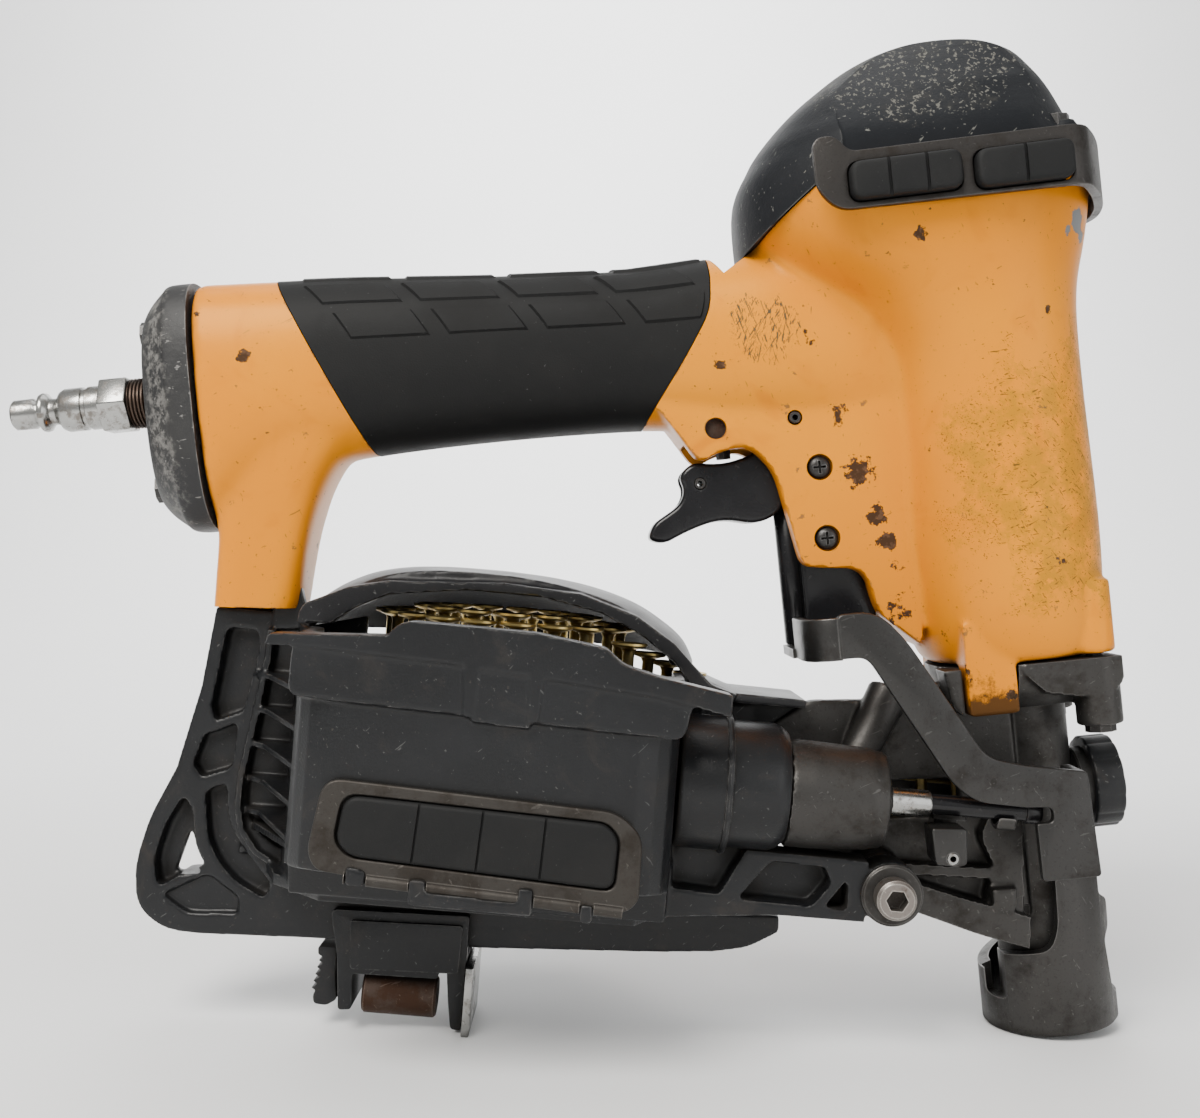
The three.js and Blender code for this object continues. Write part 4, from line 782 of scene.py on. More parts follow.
def grip_panels():
    """Raised slanted pads in two rows on each side and treads along the top, hugging the handle."""
    def surface(x, angle, lift):
        for a, b in zip(HANDLE, HANDLE[1:]):
            if a[0] <= x <= b[0]:
                t = (x - a[0]) / (b[0] - a[0])
                _, cy, cz, half_y, half_z, power = (p + (q - p) * t for p, q in zip(a, b))
        c, s = math.cos(angle), math.sin(angle)
        return Vector((x, cy + (half_y + lift) * math.copysign(abs(c) ** (2 / power), c),
                       cz + (half_z + lift) * math.copysign(abs(s) ** (2 / power), s)))

    def pad(x0, x1, top, bottom, slant):
        steps_x, steps_a = 10, 5
        verts = []
        for lift in (-0.5, 0.5):
            inset = 0 if lift < 0 else 0.05
            for i in range(steps_x + 1):
                for j in range(steps_a + 1):
                    u = inset + (1 - 2 * inset) * i / steps_x
                    v = inset * 2 + (1 - 4 * inset) * j / steps_a
                    angle = top + (bottom - top) * v
                    verts.append(surface(x0 + (x1 - x0) * u + slant * v, angle, lift))
        row, layer = steps_a + 1, (steps_x + 1) * (steps_a + 1)
        faces = []
        for i in range(steps_x):
            for j in range(steps_a):
                a = i * row + j
                quad = [a, a + 1, a + row + 1, a + row]
                faces.append(quad[::-1])
                faces.append([q + layer for q in quad])
        rim = [i * row for i in range(steps_x + 1)] + [steps_x * row + j for j in range(1, row)]
        rim += [i * row + steps_a for i in range(steps_x - 1, -1, -1)] + [j for j in range(steps_a - 1, 0, -1)]
        for a, b in zip(rim, rim[1:] + rim[:1]):
            faces.append([a, b, b + layer, a + layer])
        return mesh_object("pad", verts, faces)

    def side_angle(degrees):
        return math.radians(180 + degrees)

    pads = []
    for k in range(4):
        start = -185 + k * 26
        pads.append(pad(start, start + 22.5, side_angle(-58), side_angle(-33), 6))
        pads.append(pad(start + 8, start + 30, side_angle(-28), side_angle(-8), 5))
    pads = pads + [mirrored(one) for one in pads]
    for k in range(4):
        start = -189 + k * 28
        pads.append(pad(start, start + 25.5, side_angle(-116), side_angle(-64), 4))
    trimmed = [carved(one, grip_zone(-1.5), operation="INTERSECT") for one in pads]
    return joined(*trimmed)


def end_cap():
    """A shallow cap: a band next to the housing, then a broad worn chamfer down to a flat end."""
    shell = loft("x", [(-229.6, 0, 190, 11.5, 23.5, 2.4), (-229, 0, 190, 13.5, 26.5, 2.4),
                       (-226.5, 0, 190, 15.8, 29.6, 2.6), (-222.6, 0, 189.9, 19.2, 32.6, 2.9),
                       (-220.4, 0, 189.8, 20.5, 33.9, 3), (-214.6, 0, 189.8, 20.6, 34, 3)], 96, 48)
    cuts = [disc(5.5, -240, -210, "x", 48, (0, 0, 193.2)),
            loft("x", [(-225, 0, 190, 13, 26, 2.6), (-210, 0, 190, 13, 26, 2.6)], 48, 2)]
    cuts += [disc(4.2, -240, -226.5, "x", 32, (0, 0, z)) for z in (211, 169.5)]
    return carved(shell, *cuts)


def air_plug():
    profile = [(2.6, -269.4), (3.6, -269.4), (4.15, -268.8), (4.2, -263.6), (3.5, -262.6), (3.5, -262), (5.2, -261.4),
               (5.45, -260.6), (5.2, -259.8), (3.7, -258.6), (3.6, -257.4), (3.9, -256.6), (5.4, -255.6),
               (6, -254.4), (6, -249.4), (5.6, -249.1), (5.6, -248.2), (6, -247.9), (6, -244.2), (6, -237),
               (5.6, -237), (5.6, -227), (2.6, -227), (2.6, -269.4)]
    body = lathe(profile, "x", 64)
    threads = [lathe([(5.9, x), (6.95, x + 0.45), (5.9, x + 0.9), (5.9, x)], "x", 48)
               for x in (-236.2, -235.2, -234.2, -233.2, -232.2, -231.2, -230.2, -229.2)]
    threads.append(disc(6.2, -236.3, -228, "x", 48))
    hexagon = bevelled(prism([(8.2 * math.cos(math.pi * k / 3), 8.2 * math.sin(math.pi * k / 3)) for k in range(6)],
                             -244.1, -236.3, "x"), 0.5, 2)
    hexagon = carved(hexagon, disc(2.6, -250, -230, "x", 32))
    for part in [body, hexagon] + threads:
        moved(part, z=193.2)
    return joined(body, hexagon), joined(*threads)


def build_head():
    piece("housing_shell", housing(), HEAD, "tool_body", PAINT, ["housing"])
    piece("cap_shell", head_cap(), HEAD, "tool_body", CAP, ["head_cap"], 50)
    piece("grip_sleeve", grip(), HEAD, "tool_body", GRIP, ["handle_grip"])
    piece("grip_pads", grip_panels(), HEAD, "tool_body", GRIP)
    piece("end_cap_shell", end_cap(), HEAD, "tool_body", END_PLASTIC, ["end_cap"])
    plug, threads = air_plug()
    piece("plug_body", plug, HEAD, "tool_body", PLATED, ["air_plug"])
    piece("plug_thread", threads, HEAD, "tool_body", RUSTY)
    piece("cross_hole_plug", disc(2.85, -12.4, -9.1, "y", 32, (-77.6, 0, 169.6)), HEAD, "tool_body", RUSTY)


# ---------------------------------------------------------------- small hardware

def cross_screw(x, z, face):
    """A pan-head screw with a cross recess, facing the near side."""
    head = lathe([(0, face), (1.6, face + 0.1), (2.6, face + 0.5), (3.0, face + 1.1), (3.0, face + 2), (0, face + 2)],
                 "y", 40, (x, 0, z))
    for half_x, half_z in [(1.7, 0.32), (0.32, 1.7)]:
        carved(head, block(x - half_x, x + half_x, face - 1, face + 1.1, z - half_z, z + half_z))
    return head


def roll_pin(x, z, near, far, radius=1.6):
    return lathe([(radius * 0.5, near), (radius * 0.85, near), (radius, near + 0.3), (radius, far),
                  (radius * 0.5, far), (radius * 0.5, near)], "y", 32, (x, 0, z))


def socket_head(x, z, face, radius, depth):
    """A socket-head screw's head with a chamfered rim and a hexagonal socket, facing the near side."""
    head = lathe([(0, face), (radius - 0.7, face), (radius, face + 0.7), (radius, face + depth), (0, face + depth)],
                 "y", 48, (x, 0, z))
    hexagon = [(x + radius * 0.56 * math.cos(math.pi * k / 3), z + radius * 0.56 * math.sin(math.pi * k / 3))
               for k in range(6)]
    return carved(head, prism(hexagon, face - 1, face + depth * 0.7))


def ribbon(points, half, low, high, axis="y"):
    """A wall of even thickness along a bent line."""
    line = [Vector(point) for point in points]
    left, right = [], []
    for i, point in enumerate(line):
        along = line[min(i + 1, len(line) - 1)] - line[max(i - 1, 0)]
        side = Vector((-along.y, along.x)).normalized() * half
        left.append(point + side)
        right.append(point - side)
    return prism([tuple(p) for p in left + right[::-1]], low, high, axis)


# ---------------------------------------------------------------- skid band, trigger and guide (head frame)

PAD_WINDOWS = [(-41.8, -14.2, (-32.3, -23)), (-10.8, 13.4, (1.2,))]
PAD_FACE = -47.6


def skid_band():
    """A strap bent round the front of the head, with two windows on each side and a raised tab at its ends."""
    def plan(y, inset, rear):
        near = [(17 - 0.6 * inset, -y, 5), (25 - 0.95 * inset, -0.68 * y, 8), (31.5 - inset, -0.31 * y, 8)]
        far = [(x, -y_near, r) for x, y_near, r in near[::-1]]
        return [(rear, -y)] + near + [(34.6 - inset, 0, 6)] + far + [(rear, y)]

    side = prism([(-50, 223, 5), (-50, 235.4, 3.5), (-44.6, 236, 2.5), (-41, 231.6, 2), (14, 233), (60, 232.6),
                  (60, 218.4), (14, 218.2), (-45, 217.4, 7)], -60, 60)
    band = carved(prism(plan(44.8, 0, -50), 212, 240, "z"), prism(plan(42.5, 2.3, -60), 200, 250, "z"))
    band = carved(band, side, operation="INTERSECT")
    windows = [prism([(x0 - 0.3, 218.8, 3), (x1 + 0.3, 219.4, 3), (x1 + 0.3, 229.6, 3), (x0 - 0.3, 228.8, 3)], -60, 60)
               for x0, x1, _ in PAD_WINDOWS]
    return bevelled(carved(band, *windows), 0.55, 3)


def skid_pads():
    """Rubber pads standing through the near side's windows, on a common strip behind them."""
    pads = [block(-44, 12, -42.4, -41.4, 218.4, 230.2)]
    for x0, x1, grooves in PAD_WINDOWS:
        pad = bevelled(prism([(x0, 219.1, 3), (x1, 219.7, 3), (x1, 229.3, 3), (x0, 228.5, 3)], PAD_FACE, -42), 1.4,
                       4)
        for x in grooves:
            carved(pad, block(x - 0.4, x + 0.4, -50, PAD_FACE + 0.9, 210, 235))
        pads.append(pad)
    return joined(*pads)


TRIGGER = [(-88.4, 158.2, 2.5), (-84.5, 161.6, 3), (-76, 160.2, 4), (-66.5, 162.5, 3), (-61, 173, 2), (-56, 176, 4),
           (-51.2, 172, 3), (-54.5, 161, 4), (-59.6, 153, 4), (-60.4, 146.4, 4), (-67.8, 143, 5), (-78, 145.6, 8),
           (-87, 143.2, 5), (-94, 140.2, 2.5), (-98.4, 141.8, 2), (-96.4, 146, 2), (-89, 150.2, 4), (-87, 154, 3)]


def trigger():
    body = bevelled(prism(TRIGGER, -7.6, 7.6), 2.0, 5)
    hollow = prism([(-90, 150.6), (-85.4, 150.6), (-70, 149.6), (-56, 157), (-56, 164), (-66, 170), (-90, 170)],
                   -4.3, 4.3)
    return carved(body, hollow, block(-66.5, -46, -4.3, 4.3, 140, 166),
                  disc(1.75, -9, 9, "y", 32, (-56.3, 0, 170.4)), disc(1.75, -9, 9, "y", 32, (-82.7, 0, 155.6)))


def trip_guide():
    outline = [(-57.5, 108.4, 1), (-38.6, 108.4, 1), (-38.6, 127), (-41.4, 129), (-41.4, 162, 2), (-54.6, 162, 2),
               (-56, 158), (-57.5, 147)]
    guide = bevelled(prism(outline, -7.8, 7.8), 0.6, 3)
    return carved(guide, disc(3.8, 100, 170, "z", 32, (-59.4, 0, 0)), disc(6.6, -9, 9, "y", 32, (-56.3, 0, 170.4)))


def build_trigger_group():
    piece("band", skid_band(), HEAD, "tool_body", BAND, ["skid_band"])
    near = skid_pads()
    piece("far_pads", mirrored(near), HEAD, "tool_body", PAD, ["skid_pad_far"])
    piece("near_pads", near, HEAD, "tool_body", PAD, ["skid_pad_near"])
    piece("trigger_shape", trigger(), HEAD, "trigger", TRIGGER_PLASTIC, ["trigger_body"])
    piece("trigger_roll_pin", roll_pin(-56.3, 170.4, -14.9, 14.9), HEAD, "tool_body", STEEL,
          ["trigger_pin"])
    piece("lever_roll_pin", roll_pin(-82.7, 155.6, -8, 8), HEAD, "trigger", STEEL, ["lever_pin"])
    piece("guide_block", trip_guide(), HEAD, "tool_body", TRIGGER_PLASTIC, ["trip_guide"])
    for (x, z), node in zip(TRIP_SCREWS, ["trip_guide_screw_upper", "trip_guide_screw_lower"]):
        piece(node + "_head", cross_screw(x, z, -14.6), HEAD, "tool_body", STEEL, [node])
    pusher = lathe([(2, 109.2), (3.0, 109.2), (3.4, 109.8), (3.4, 146.6), (2.8, 147.4), (2, 147.4), (2, 109.2)],
                   "z", 40, (-59.4, 0, 0))
    piece("pusher_sleeve", pusher, HEAD, "work_contact", TRIGGER_PLASTIC, ["trip_pusher"])


# ---------------------------------------------------------------- contact arm, foot and knob (head frame)

ARM_PLATE = [(-54, 118, 2), (-43.8, 118, 5), (-37.2, 110.5, 5), (-19.6, 78.4, 4), (-10, 75.6), (5.2, 72.6, 1.2),
             (6.3, 46, 1.2), (-8.6, 46, 1.2), (-8.8, 60.7), (-4.4, 60.7, 1.6), (-4.4, 64.4, 1.6), (-11, 65, 1),
             (-23.4, 67.6, 5), (-28.8, 72.7, 3), (-47.2, 106.7, 3), (-54, 106.7)]


def contact_arm():
    plate = prism(ARM_PLATE, -36, -33.4)
    bend = ribbon([(-53, -34.7), (-56.5, -34.2), (-59, -32.4), (-60.6, -29.4), (-61, -25.6), (-61, -4)], 1.3,
                  106.4, 117.2, "z")
    bend = carved(bend, block(-70, -50, -14, 10, 108.9, 130))
    shelf = block(-63, -56, -15, 4.5, 106.4, 108.9)
    wrap = ribbon([(1, -34.7), (3, -34.4), (4.4, -33.2), (5, -30), (5, -18.4)], 1.3, 46, 72, "z")
    foot_link = block(-0.4, 6.3, -34, -15.4, 46, 48.2)
    rod_up = disc(1.7, 108, 146, "z", 24, (-59.4, 0, 0))
    return bevelled(plate, 0.5, 3), [bevelled(bend, 0.4, 2), shelf, bevelled(wrap, 0.5, 3), foot_link, rod_up]


def contact_foot():
    tube = lathe([(14.9, 0), (17.4, 0), (18, 0.8), (18, 21), (18.2, 46.4), (14.9, 46.4), (14.9, 0)], "z", 128)
    shape = prism([(-30, -1), (-30, 21.5), (-13, 21.5, 4), (-3, 22.8, 4), (-0.6, 29, 4), (-0.2, 47), (12.4, 47),
                   (12.4, 35.6, 1), (15.4, 33.4, 1.5), (15.2, 26, 1.5), (13, 23.4, 2), (14.6, 8, 3), (30, 3), (30, -1)],
                  -30, -5)
    back = prism([(-30, -1), (-30, 12), (-4, 20), (14.6, 20), (15, 8), (30, 3), (30, -1)], -5.2, 30)
    worn = carved(shape, back, operation="UNION")
    ring = carved(tube, worn, operation="INTERSECT")
    slot = prism([(-17.6, 9, 1.8), (-14, 9, 1.8), (-14, 34), (-17.6, 34)], -16, 0)
    return bevelled(carved(ring, slot), 0.7, 3, 50)


def depth_knob():
    rim = []
    for k in range(180):
        angle = 2 * math.pi * k / 180
        radius = 12.1 + 0.5 * math.sqrt(abs(math.cos(7 * angle)))
        rim.append((radius * math.cos(angle), radius * math.sin(angle)))
    wheel = bevelled(prism(rim, 15.2, 23, "x"), 0.9, 3, 60)
    ring = lathe([(0, 12.2), (9.4, 12.2), (9.8, 12.6), (9.8, 15.4), (0, 15.4)], "x", 64)
    stem = lathe([(0, 8.4), (3, 8.4), (3, 12.6), (0, 12.6)], "x", 32)
    return moved(wheel, z=63.5), moved(ring, z=63.5), moved(stem, z=63.5)


def build_contact():
    plate, rest = contact_arm()
    arm = joined(plate, *rest)
    piece("arm_shape", arm, HEAD, "work_contact", STEEL, ["contact_arm"])
    piece("foot_shape", contact_foot(), HEAD, "work_contact", FOOT_STEEL, ["contact_foot"])
    wheel, ring, stem = depth_knob()
    piece("knob_wheel", joined(wheel, stem), HEAD, "depth_knob", PLASTIC, ["depth_knob_wheel"])
    piece("knob_ring", ring, HEAD, "depth_knob", STEEL)


# ---------------------------------------------------------------- nose casting (head frame)

def nose():
    near_cheek = carved(
        prism([(-72, 60, 3), (-58, 42, 8), (-40, 38, 3), (-19, 31.5, 2), (-6, 31.5), (-6, 96), (-36, 96, 4), (-41, 93),
               (-60, 94.6, 2), (-73, 88, 3)], -13, -8.4),
        prism([(-52, 62, 2), (-52, 72, 2), (-22, 70, 2), (-22, 60, 2)], -20, 0))
    lower_rib = prism([(-44, 40, 3), (-22, 29.6, 3), (-9, 24.6), (-8, 33), (-26, 40), (-40, 46)], -20, -9)
    middle_ledge = prism([(-40, 47, 1), (-14, 43, 1), (-14, 46, 1), (-40, 50, 1)], -18, -9)
    tower = prism([(-20, 33, 1), (-9, 34, 1), (-7, 60), (-15, 62, 1), (-19, 55, 2), (-16, 47, 1)], -18, -6)
    bracket = prism([(-18, 41.4, 1), (-11, 41.2, 1), (-12, 35, 1.2), (-17.4, 35.6, 1.2)], -21, -15)
    lugs = [rod(5.9, (15, y, 82), (15, y, 100)) for y in (-20, 20)]
    lugs += [prism([(-5, 97, 2), (0, 92), (10, 90), (20.6, 92, 3), (20.6, 100), (-5, 100)], y - 5.5, y + 5.5)
             for y in (-20, 20)]
    left_lug = prism([(-25.6, 100), (-24, 90, 2), (-20.8, 87, 2), (-20.8, 100)], -24, -14)
    strut = rod(5.6, (-38, -12, 95), (-53, -20, 74), 32, 0.85)
    boss = lathe([(0, -8.8), (7.4, -8.8), (7.8, -22.8), (7.2, -23.4), (0, -23.4)], "y", 48, (-47.5, 0, 46.7))
    cylinder = lathe([(0, -25), (13.6, -25), (13.7, -19), (12.9, -4), (12.2, -2), (12.2, -0.6), (11.6, 0), (0, 0)],
                     "x", 72)
    collet = lathe([(0, -1), (4.6, -1), (4.6, 1.6), (4, 2.2), (0, 2.2)], "x", 40)
    guide_ring = lathe([(0, 29), (5.2, 29), (5.2, 34), (0, 34)], "x", 40)
    feed_parts = [seen_from(HEAD, FEED, part) for part in (cylinder, collet, guide_ring)]
    feed_parts[2] = carved(feed_parts[2], block(-40, 0, -50, -33.3, 40, 80))
    door_lug = carved(rod(3.4, (-13.5, 11.5, 32), (-13.5, 11.5, 84)), block(-22, -6, 6, 22, 40, 74))
    webs = [block(-13.5, -4, 8.6, 14.5, 32, 40), block(-13.5, -4, 8.6, 14.5, 74, 84)]
    flange = loft("z", [(88, -1, 0, 19, 19, 2.4), (92, -1, 0, 22, 23, 2.3), (99.9, -1, 0, 23.2, 25.6, 2.3)], 64, 12)
    barrel = lathe([(0, 13), (11.2, 13), (12, 15), (12, 96), (0, 96)], "z", 72)
    parts = [barrel, flange, near_cheek, lower_rib, middle_ledge, tower, bracket, left_lug, strut, boss, door_lug]
    channel = [disc(5.3, 5, 110, "z", 32), disc(6.2, 93, 112, "z", 32), block(-14, 0, -5.4, 5.4, 34, 84.4)]
    foot_travel = lathe([(13.8, -1), (19.6, -1), (19.6, 34.6), (13.8, 34.6), (13.8, -1)], "z", 96)
    bore = seen_from(HEAD, FEED, disc(10.6, -30, -3.2, "x"))
    rod_hole = seen_from(HEAD, FEED, disc(3.7, -6, 45, "x", 40))
    tongue_room = [block(-20.6, -6.4, y - 4.6, y + 4.6, 80, 105) for y in (-21, 21)]
    return fused(parts + lugs + feed_parts + webs, 0.62, 3,
                 channel + [foot_travel, bore, rod_hole, disc(3.3, -40, -11, "y", 32, (-47.5, 0, 46.7))] + tongue_room)


def build_nose():
    piece("nose_shape", nose(), HEAD, "tool_body", CASTING, ["nose"])


# ---------------------------------------------------------------- nail feed (feed frame)

def feed_collar():
    rear = bevelled(lathe([(0, -53), (16.6, -53), (17, -52), (17, -39.8), (0, -39.8)], "x", 96), 0.5, 3)
    front = lathe([(10.6, -41), (16.2, -41), (16.2, -29), (15.4, -27), (13.9, -25.3), (10.6, -25.3), (10.6, -41)],
                  "x", 96)
    ring = lathe([(12, -41.4), (17.6, -41.4), (17.9, -40.7), (17.6, -40), (12, -40), (12, -41.4)], "x", 96)
    shell = moved(carved(rear, front, ring, operation="UNION"), z=1.2)
    return carved(shell, disc(10.6, -46, -24, "x"))


def build_feed():
    collar = carved(seen_from(MAGAZINE, FEED, feed_collar()), canister(0.2, -5, 90))
    piece("feed_collar", collar, MAGAZINE, "tool_body", PLASTIC, ["feed_cylinder_cap"])
    near_rod = lathe([(0, -20), (3.4, -20), (3.4, 11.6), (3.0, 12.2), (0, 12.2)], "x", 48)
    far_rod = lathe([(0, 12), (2.6, 12), (2.6, 36.4), (3.1, 36.6), (3.1, 39.6), (2.5, 40.6), (0, 40.6)], "x", 48)
    piece("feed_rod", near_rod, FEED, "feed_slide_body", PLATED, ["feed_piston"])
    piece("feed_rod_end", far_rod, FEED, "feed_slide_body", TRIGGER_PLASTIC)
    block_shape = prism([(11.6, -5.2, 1), (20.6, -4.6, 1), (21.4, -13.7, 1), (19, -14.4, 1), (13.4, -14.2, 1)], -6.5, 3)
    block_shape = carved(bevelled(block_shape, 0.6, 3), disc(1.6, -10, 10, "y", 32, (17.6, 0, -12.4)))
    hook = prism([(14, 3, 1), (23, 3, 1), (23, 12, 1), (14, 12, 1)], -4.2, -2.2, "z")
    piece("feed_hanger", joined(block_shape, hook), FEED, "feed_slide_body", STEEL)
    piece("feed_hanger_pin", roll_pin(17.6, -12.4, -6.7, 3), FEED, "feed_slide_body", PLATED)


# ---------------------------------------------------------------- magazine (magazine frame)

RADIUS = 56
FACE = 57.5
FLOOR = 8
WALL = 2.6
# The near side's floor stands this much higher, above its sloped lower edge.
UNDERCUT = 12
RIM = [(-52, 74.6), (-24.3, 76.3), (-22, 79, 1), (-19, 80, 1), (10.3, 79.6), (27.4, 77.3, 1), (31.7, 73.7, 2),
       (40.5, 71.5), (58, 68.6)]
LOOP = [(-79, 76.8), (-81.4, 54.7), (-86.4, 32.2), (-92.6, 18.1, 4), (-95.6, 5.3, 5), (-94.4, -6.2, 6),
        (-86.5, -12, 6), (-77, -12.4), (-41.4, -11), (0, -10.2), (48.9, -7.4), (64, -6), (72.7, -4.2, 3), (80.8, 0.7, 1),
        (80.6, 5.2, 1), (42.8, 4), (30, 9), (-42, 9, 6), (-57, 12, 8), (-66.5, 20, 8), (-66.8, 33, 6), (-64, 50),
        (-62, 66), (-62.4, 76.8)]
POCKETS = [
    ([(-75.6, 71.5, 2), (-67, 71.5, 2), (-66.4, 66, 1), (-69.4, 49, 1), (-76.8, 45.8, 1), (-78.2, 49.7, 1)], 5.2),
    ([(-79.4, 42, 1), (-76, 43.2, 1), (-70.6, 45.8, 1), (-71.2, 33.4, 2), (-79.4, 30.2, 1), (-82, 33.6, 1)], 4.4),
    ([(-78, 26.6, 2), (-72.4, 29.2, 2), (-71, 18.2, 5), (-65.4, 10.6, 5), (-58, 2.6, 2), (-59.6, -1.2, 1), (-69, 3, 5),
      (-76, 12, 5)], 4.2),
    ([(-83.8, 25, 2), (-81.2, 21.4, 1), (-79.6, 12, 3), (-76.4, 6.6, 1), (-83, 3.4, 1), (-89, -1, 3), (-90.6, 7, 3),
      (-88, 17, 1)], 5.6),
    ([(-87.6, -2.4, 2), (-75.6, 4.2, 2), (-66.6, -1.6, 1), (-66.4, -6, 1), (-80, -7, 2)], 1.6),
]
WINDOW = [(-82.4, 15.6, 0.6), (-85.9, 2.8, 0.6), (-77.3, 3.9, 0.6), (-80.6, 9.4, 2)]
TRUSS = [(44, 9), (76.7, 12), (98, 12), (98, 27.4), (67.2, 28), (50, 27)]
TRUSS_POCKETS = [
    [(48.8, 16.8, 1), (60.9, 16.2, 1), (67.6, 29.4), (48.4, 29.4)],
    [(65.6, 15.4, 1.5), (84.3, 14.8, 1.5), (89, 21, 1.5), (87, 25.2, 1.5), (73.2, 25.4, 1.5)],
    [(87.6, 15, 1), (93.4, 14.6, 1), (93, 22.6, 1.5)],
]


def canister(grow, low, high):
    """The canister's outline, round with a flat near face, as a solid from low to high."""
    edge = FACE + grow
    near = prism([(-47.5 - grow, -edge, 16), (47.5 + grow, -edge, 16), (47.5 + grow, 0), (-47.5 - grow, 0)],
                 low, high, "z")
    return carved(disc(RADIUS + grow, low, high, "z", 128), near, operation="UNION")


def above(line, top=110):
    return prism([(-120, top), (-120, line[0][1])] + list(line) + [(130, line[-1][1]), (130, top)], -70, 70)


def canister_shell():
    outer = canister(0, FLOOR, 82)
    far_side = block(-70, 70, -0.3, 70, FLOOR + 4, 90)
    throat = block(44, 60, -13.6, 2, 18, 90)
    under = prism([(-70, 0), (-70, 19), (-FACE, 19), (-40, 17.5, 2), (-36, FLOOR), (-36, 0)], -70, 70, "x")
    inside = canister(-WALL, FLOOR + UNDERCUT, 90)
    return carved(outer, inside, far_side, above(RIM), throat, under)


def canister_dressing():
    """Rim, raised upper band, ribs and centre panel on the near face, and the hooks that hold the wear plate."""
    rim = prism(RIM + [(58, 63.4), (40.8, 66.9), (-9, 70.9), (-44.6, 72.3, 1), (-53, 71.6)], -60, -52)
    band = prism([(-46.8, 60.2, 3), (41.6, 57.2), (47.4, 57, 3), (49, 67), (-9, 71.6), (-46.6, 73, 3)], -59.2, -48)
    ribs = [prism([(x, 58.4, 0.8), (x + 2.2, 58.4, 0.8), (x + 2.8, 71.5), (x - 0.6, 71.5)], -60, -57)
            for x in (-4.9, 10.4)]
    panel = prism([(-3, 57.4, 1), (11, 56.9, 1), (11, 71), (-3, 71)], -59.5, -57)
    circle = lathe([(4.1, -61), (4.6, -61), (4.6, -59), (4.1, -59), (4.1, -61)], "y", 48, (4.4, 0, 64.6))
    hooks = [prism([(-14.4, 13.6, 1), (14.8, 13.2, 1), (14.8, 19.6, 1), (11.4, 19.6, 0.6), (11.2, 16.2, 0.6),
                    (-10.4, 16.9, 0.6), (-10.6, 19.6, 0.6), (-14.4, 19.8, 1)], -60.8, -56),
             prism([(-29.6, 17, 1), (-24.8, 17, 1), (-24.8, 20.6, 1), (-29.6, 21.6, 1)], -60.4, -56),
             prism([(26, 12.6, 1), (29, 12.6, 1), (29, 16.8, 1), (26, 16.8, 1)], -60.4, -56)]
    return [rim, carved(band, circle)] + ribs + [panel] + hooks


def frame_loop():
    loop = prism(LOOP, -7, 7)
    for outline, depth in POCKETS:
        carved(loop, prism(outline, -8, -7 + depth), prism(outline, 7 - depth, 8))
    groove = ribbon([(-40, -5), (0, -4.2), (70, 0.6)], 0.4, -8, -6.2)
    return carved(loop, prism(WINDOW, -10, 10), groove)


def fins():
    """Gussets between the loop and the canister, and the canister's curved lower lip."""
    plates = [prism([(-66.5, -2), (-66.5, -8), (-62, -12), (-46, -46), (-46, -2)], z - 0.75, z + 0.75, "z")
              for z in (59.4, 50, 40.6, 31.2, 22.6)]
    crest = ribbon([(-63, 72), (-63.4, 64), (-65.4, 49), (-68, 32), (-68.4, 24), (-67, 17.4), (-62.6, 11.6),
                    (-56, 8), (-48, 5.6), (-36, 4.2), (-20, 4)], 0.9, -9.6, -3)
    lip = prism([(-60, -6), (-55, -20), (-40, -34), (40, -34), (46, -24), (46, -6)], 6, 9, "z")
    corner = prism([(-64, -3), (-64, -8), (-50, -30), (-50, -3)], 17.6, 19.4, "z")
    web = prism([(-68, 10), (-44, 10), (-44, 72), (-62, 72), (-66, 40)], -5.4, -3)
    tab = prism([(-63, 72), (-63, 80), (-59, 86.5, 1), (-57, 86.5, 1), (-55, 80), (-53, 73)], -8, -4)
    return plates + [crest, lip, corner, web, tab]


def truss():
    web = prism(TRUSS, -35, -25)
    for outline in TRUSS_POCKETS:
        carved(web, prism(outline, -40, -28))
    boss = disc(8, -35, -24, "y", 48, (104.2, 0, 19.6))
    return [web, boss]


def throat_wall():
    curve = ribbon([(51, -13.4), (56, -12.9), (62, -11.6), (70, -10.4)], 1, 18, 62, "z")
    panel = prism([(58, 50), (82, 53), (82, 63, 1), (58, 63)], -11.6, -9.8)
    return [curve, panel]


def magazine_body():
    tongue = block(-76.5, -64.9, -5, 5, 74, 91.5)
    hub = lathe([(4.2, 8), (8, 8), (8, 18), (4.2, 18), (4.2, 8)], "z", 40)
    knuckle = [disc(3.4, -9.7, 9.7, "x", 32, (0, 34, 4.2)), block(-9.7, 9.7, 31, 37, 4.2, 9)]
    inner_rib = prism([(-53.6, 60), (-53.6, 73.5), (-38, 77.5), (-38, 60)], -4, -1.5)
    parts = [canister_shell(), frame_loop(), tongue, hub, inner_rib] + canister_dressing() + fins() + truss() + throat_wall()
    leg_pin_hole = disc(1.75, -30, 30, "y", 32, (-70.7, 0, 84))
    bolt_hole = disc(3.3, -50, -10, "y", 32, (104.2, 0, 19.6))
    return fused(parts + knuckle, 0.55, 2, [leg_pin_hole, bolt_hole])


# ---------------------------------------------------------------- lid (magazine frame)

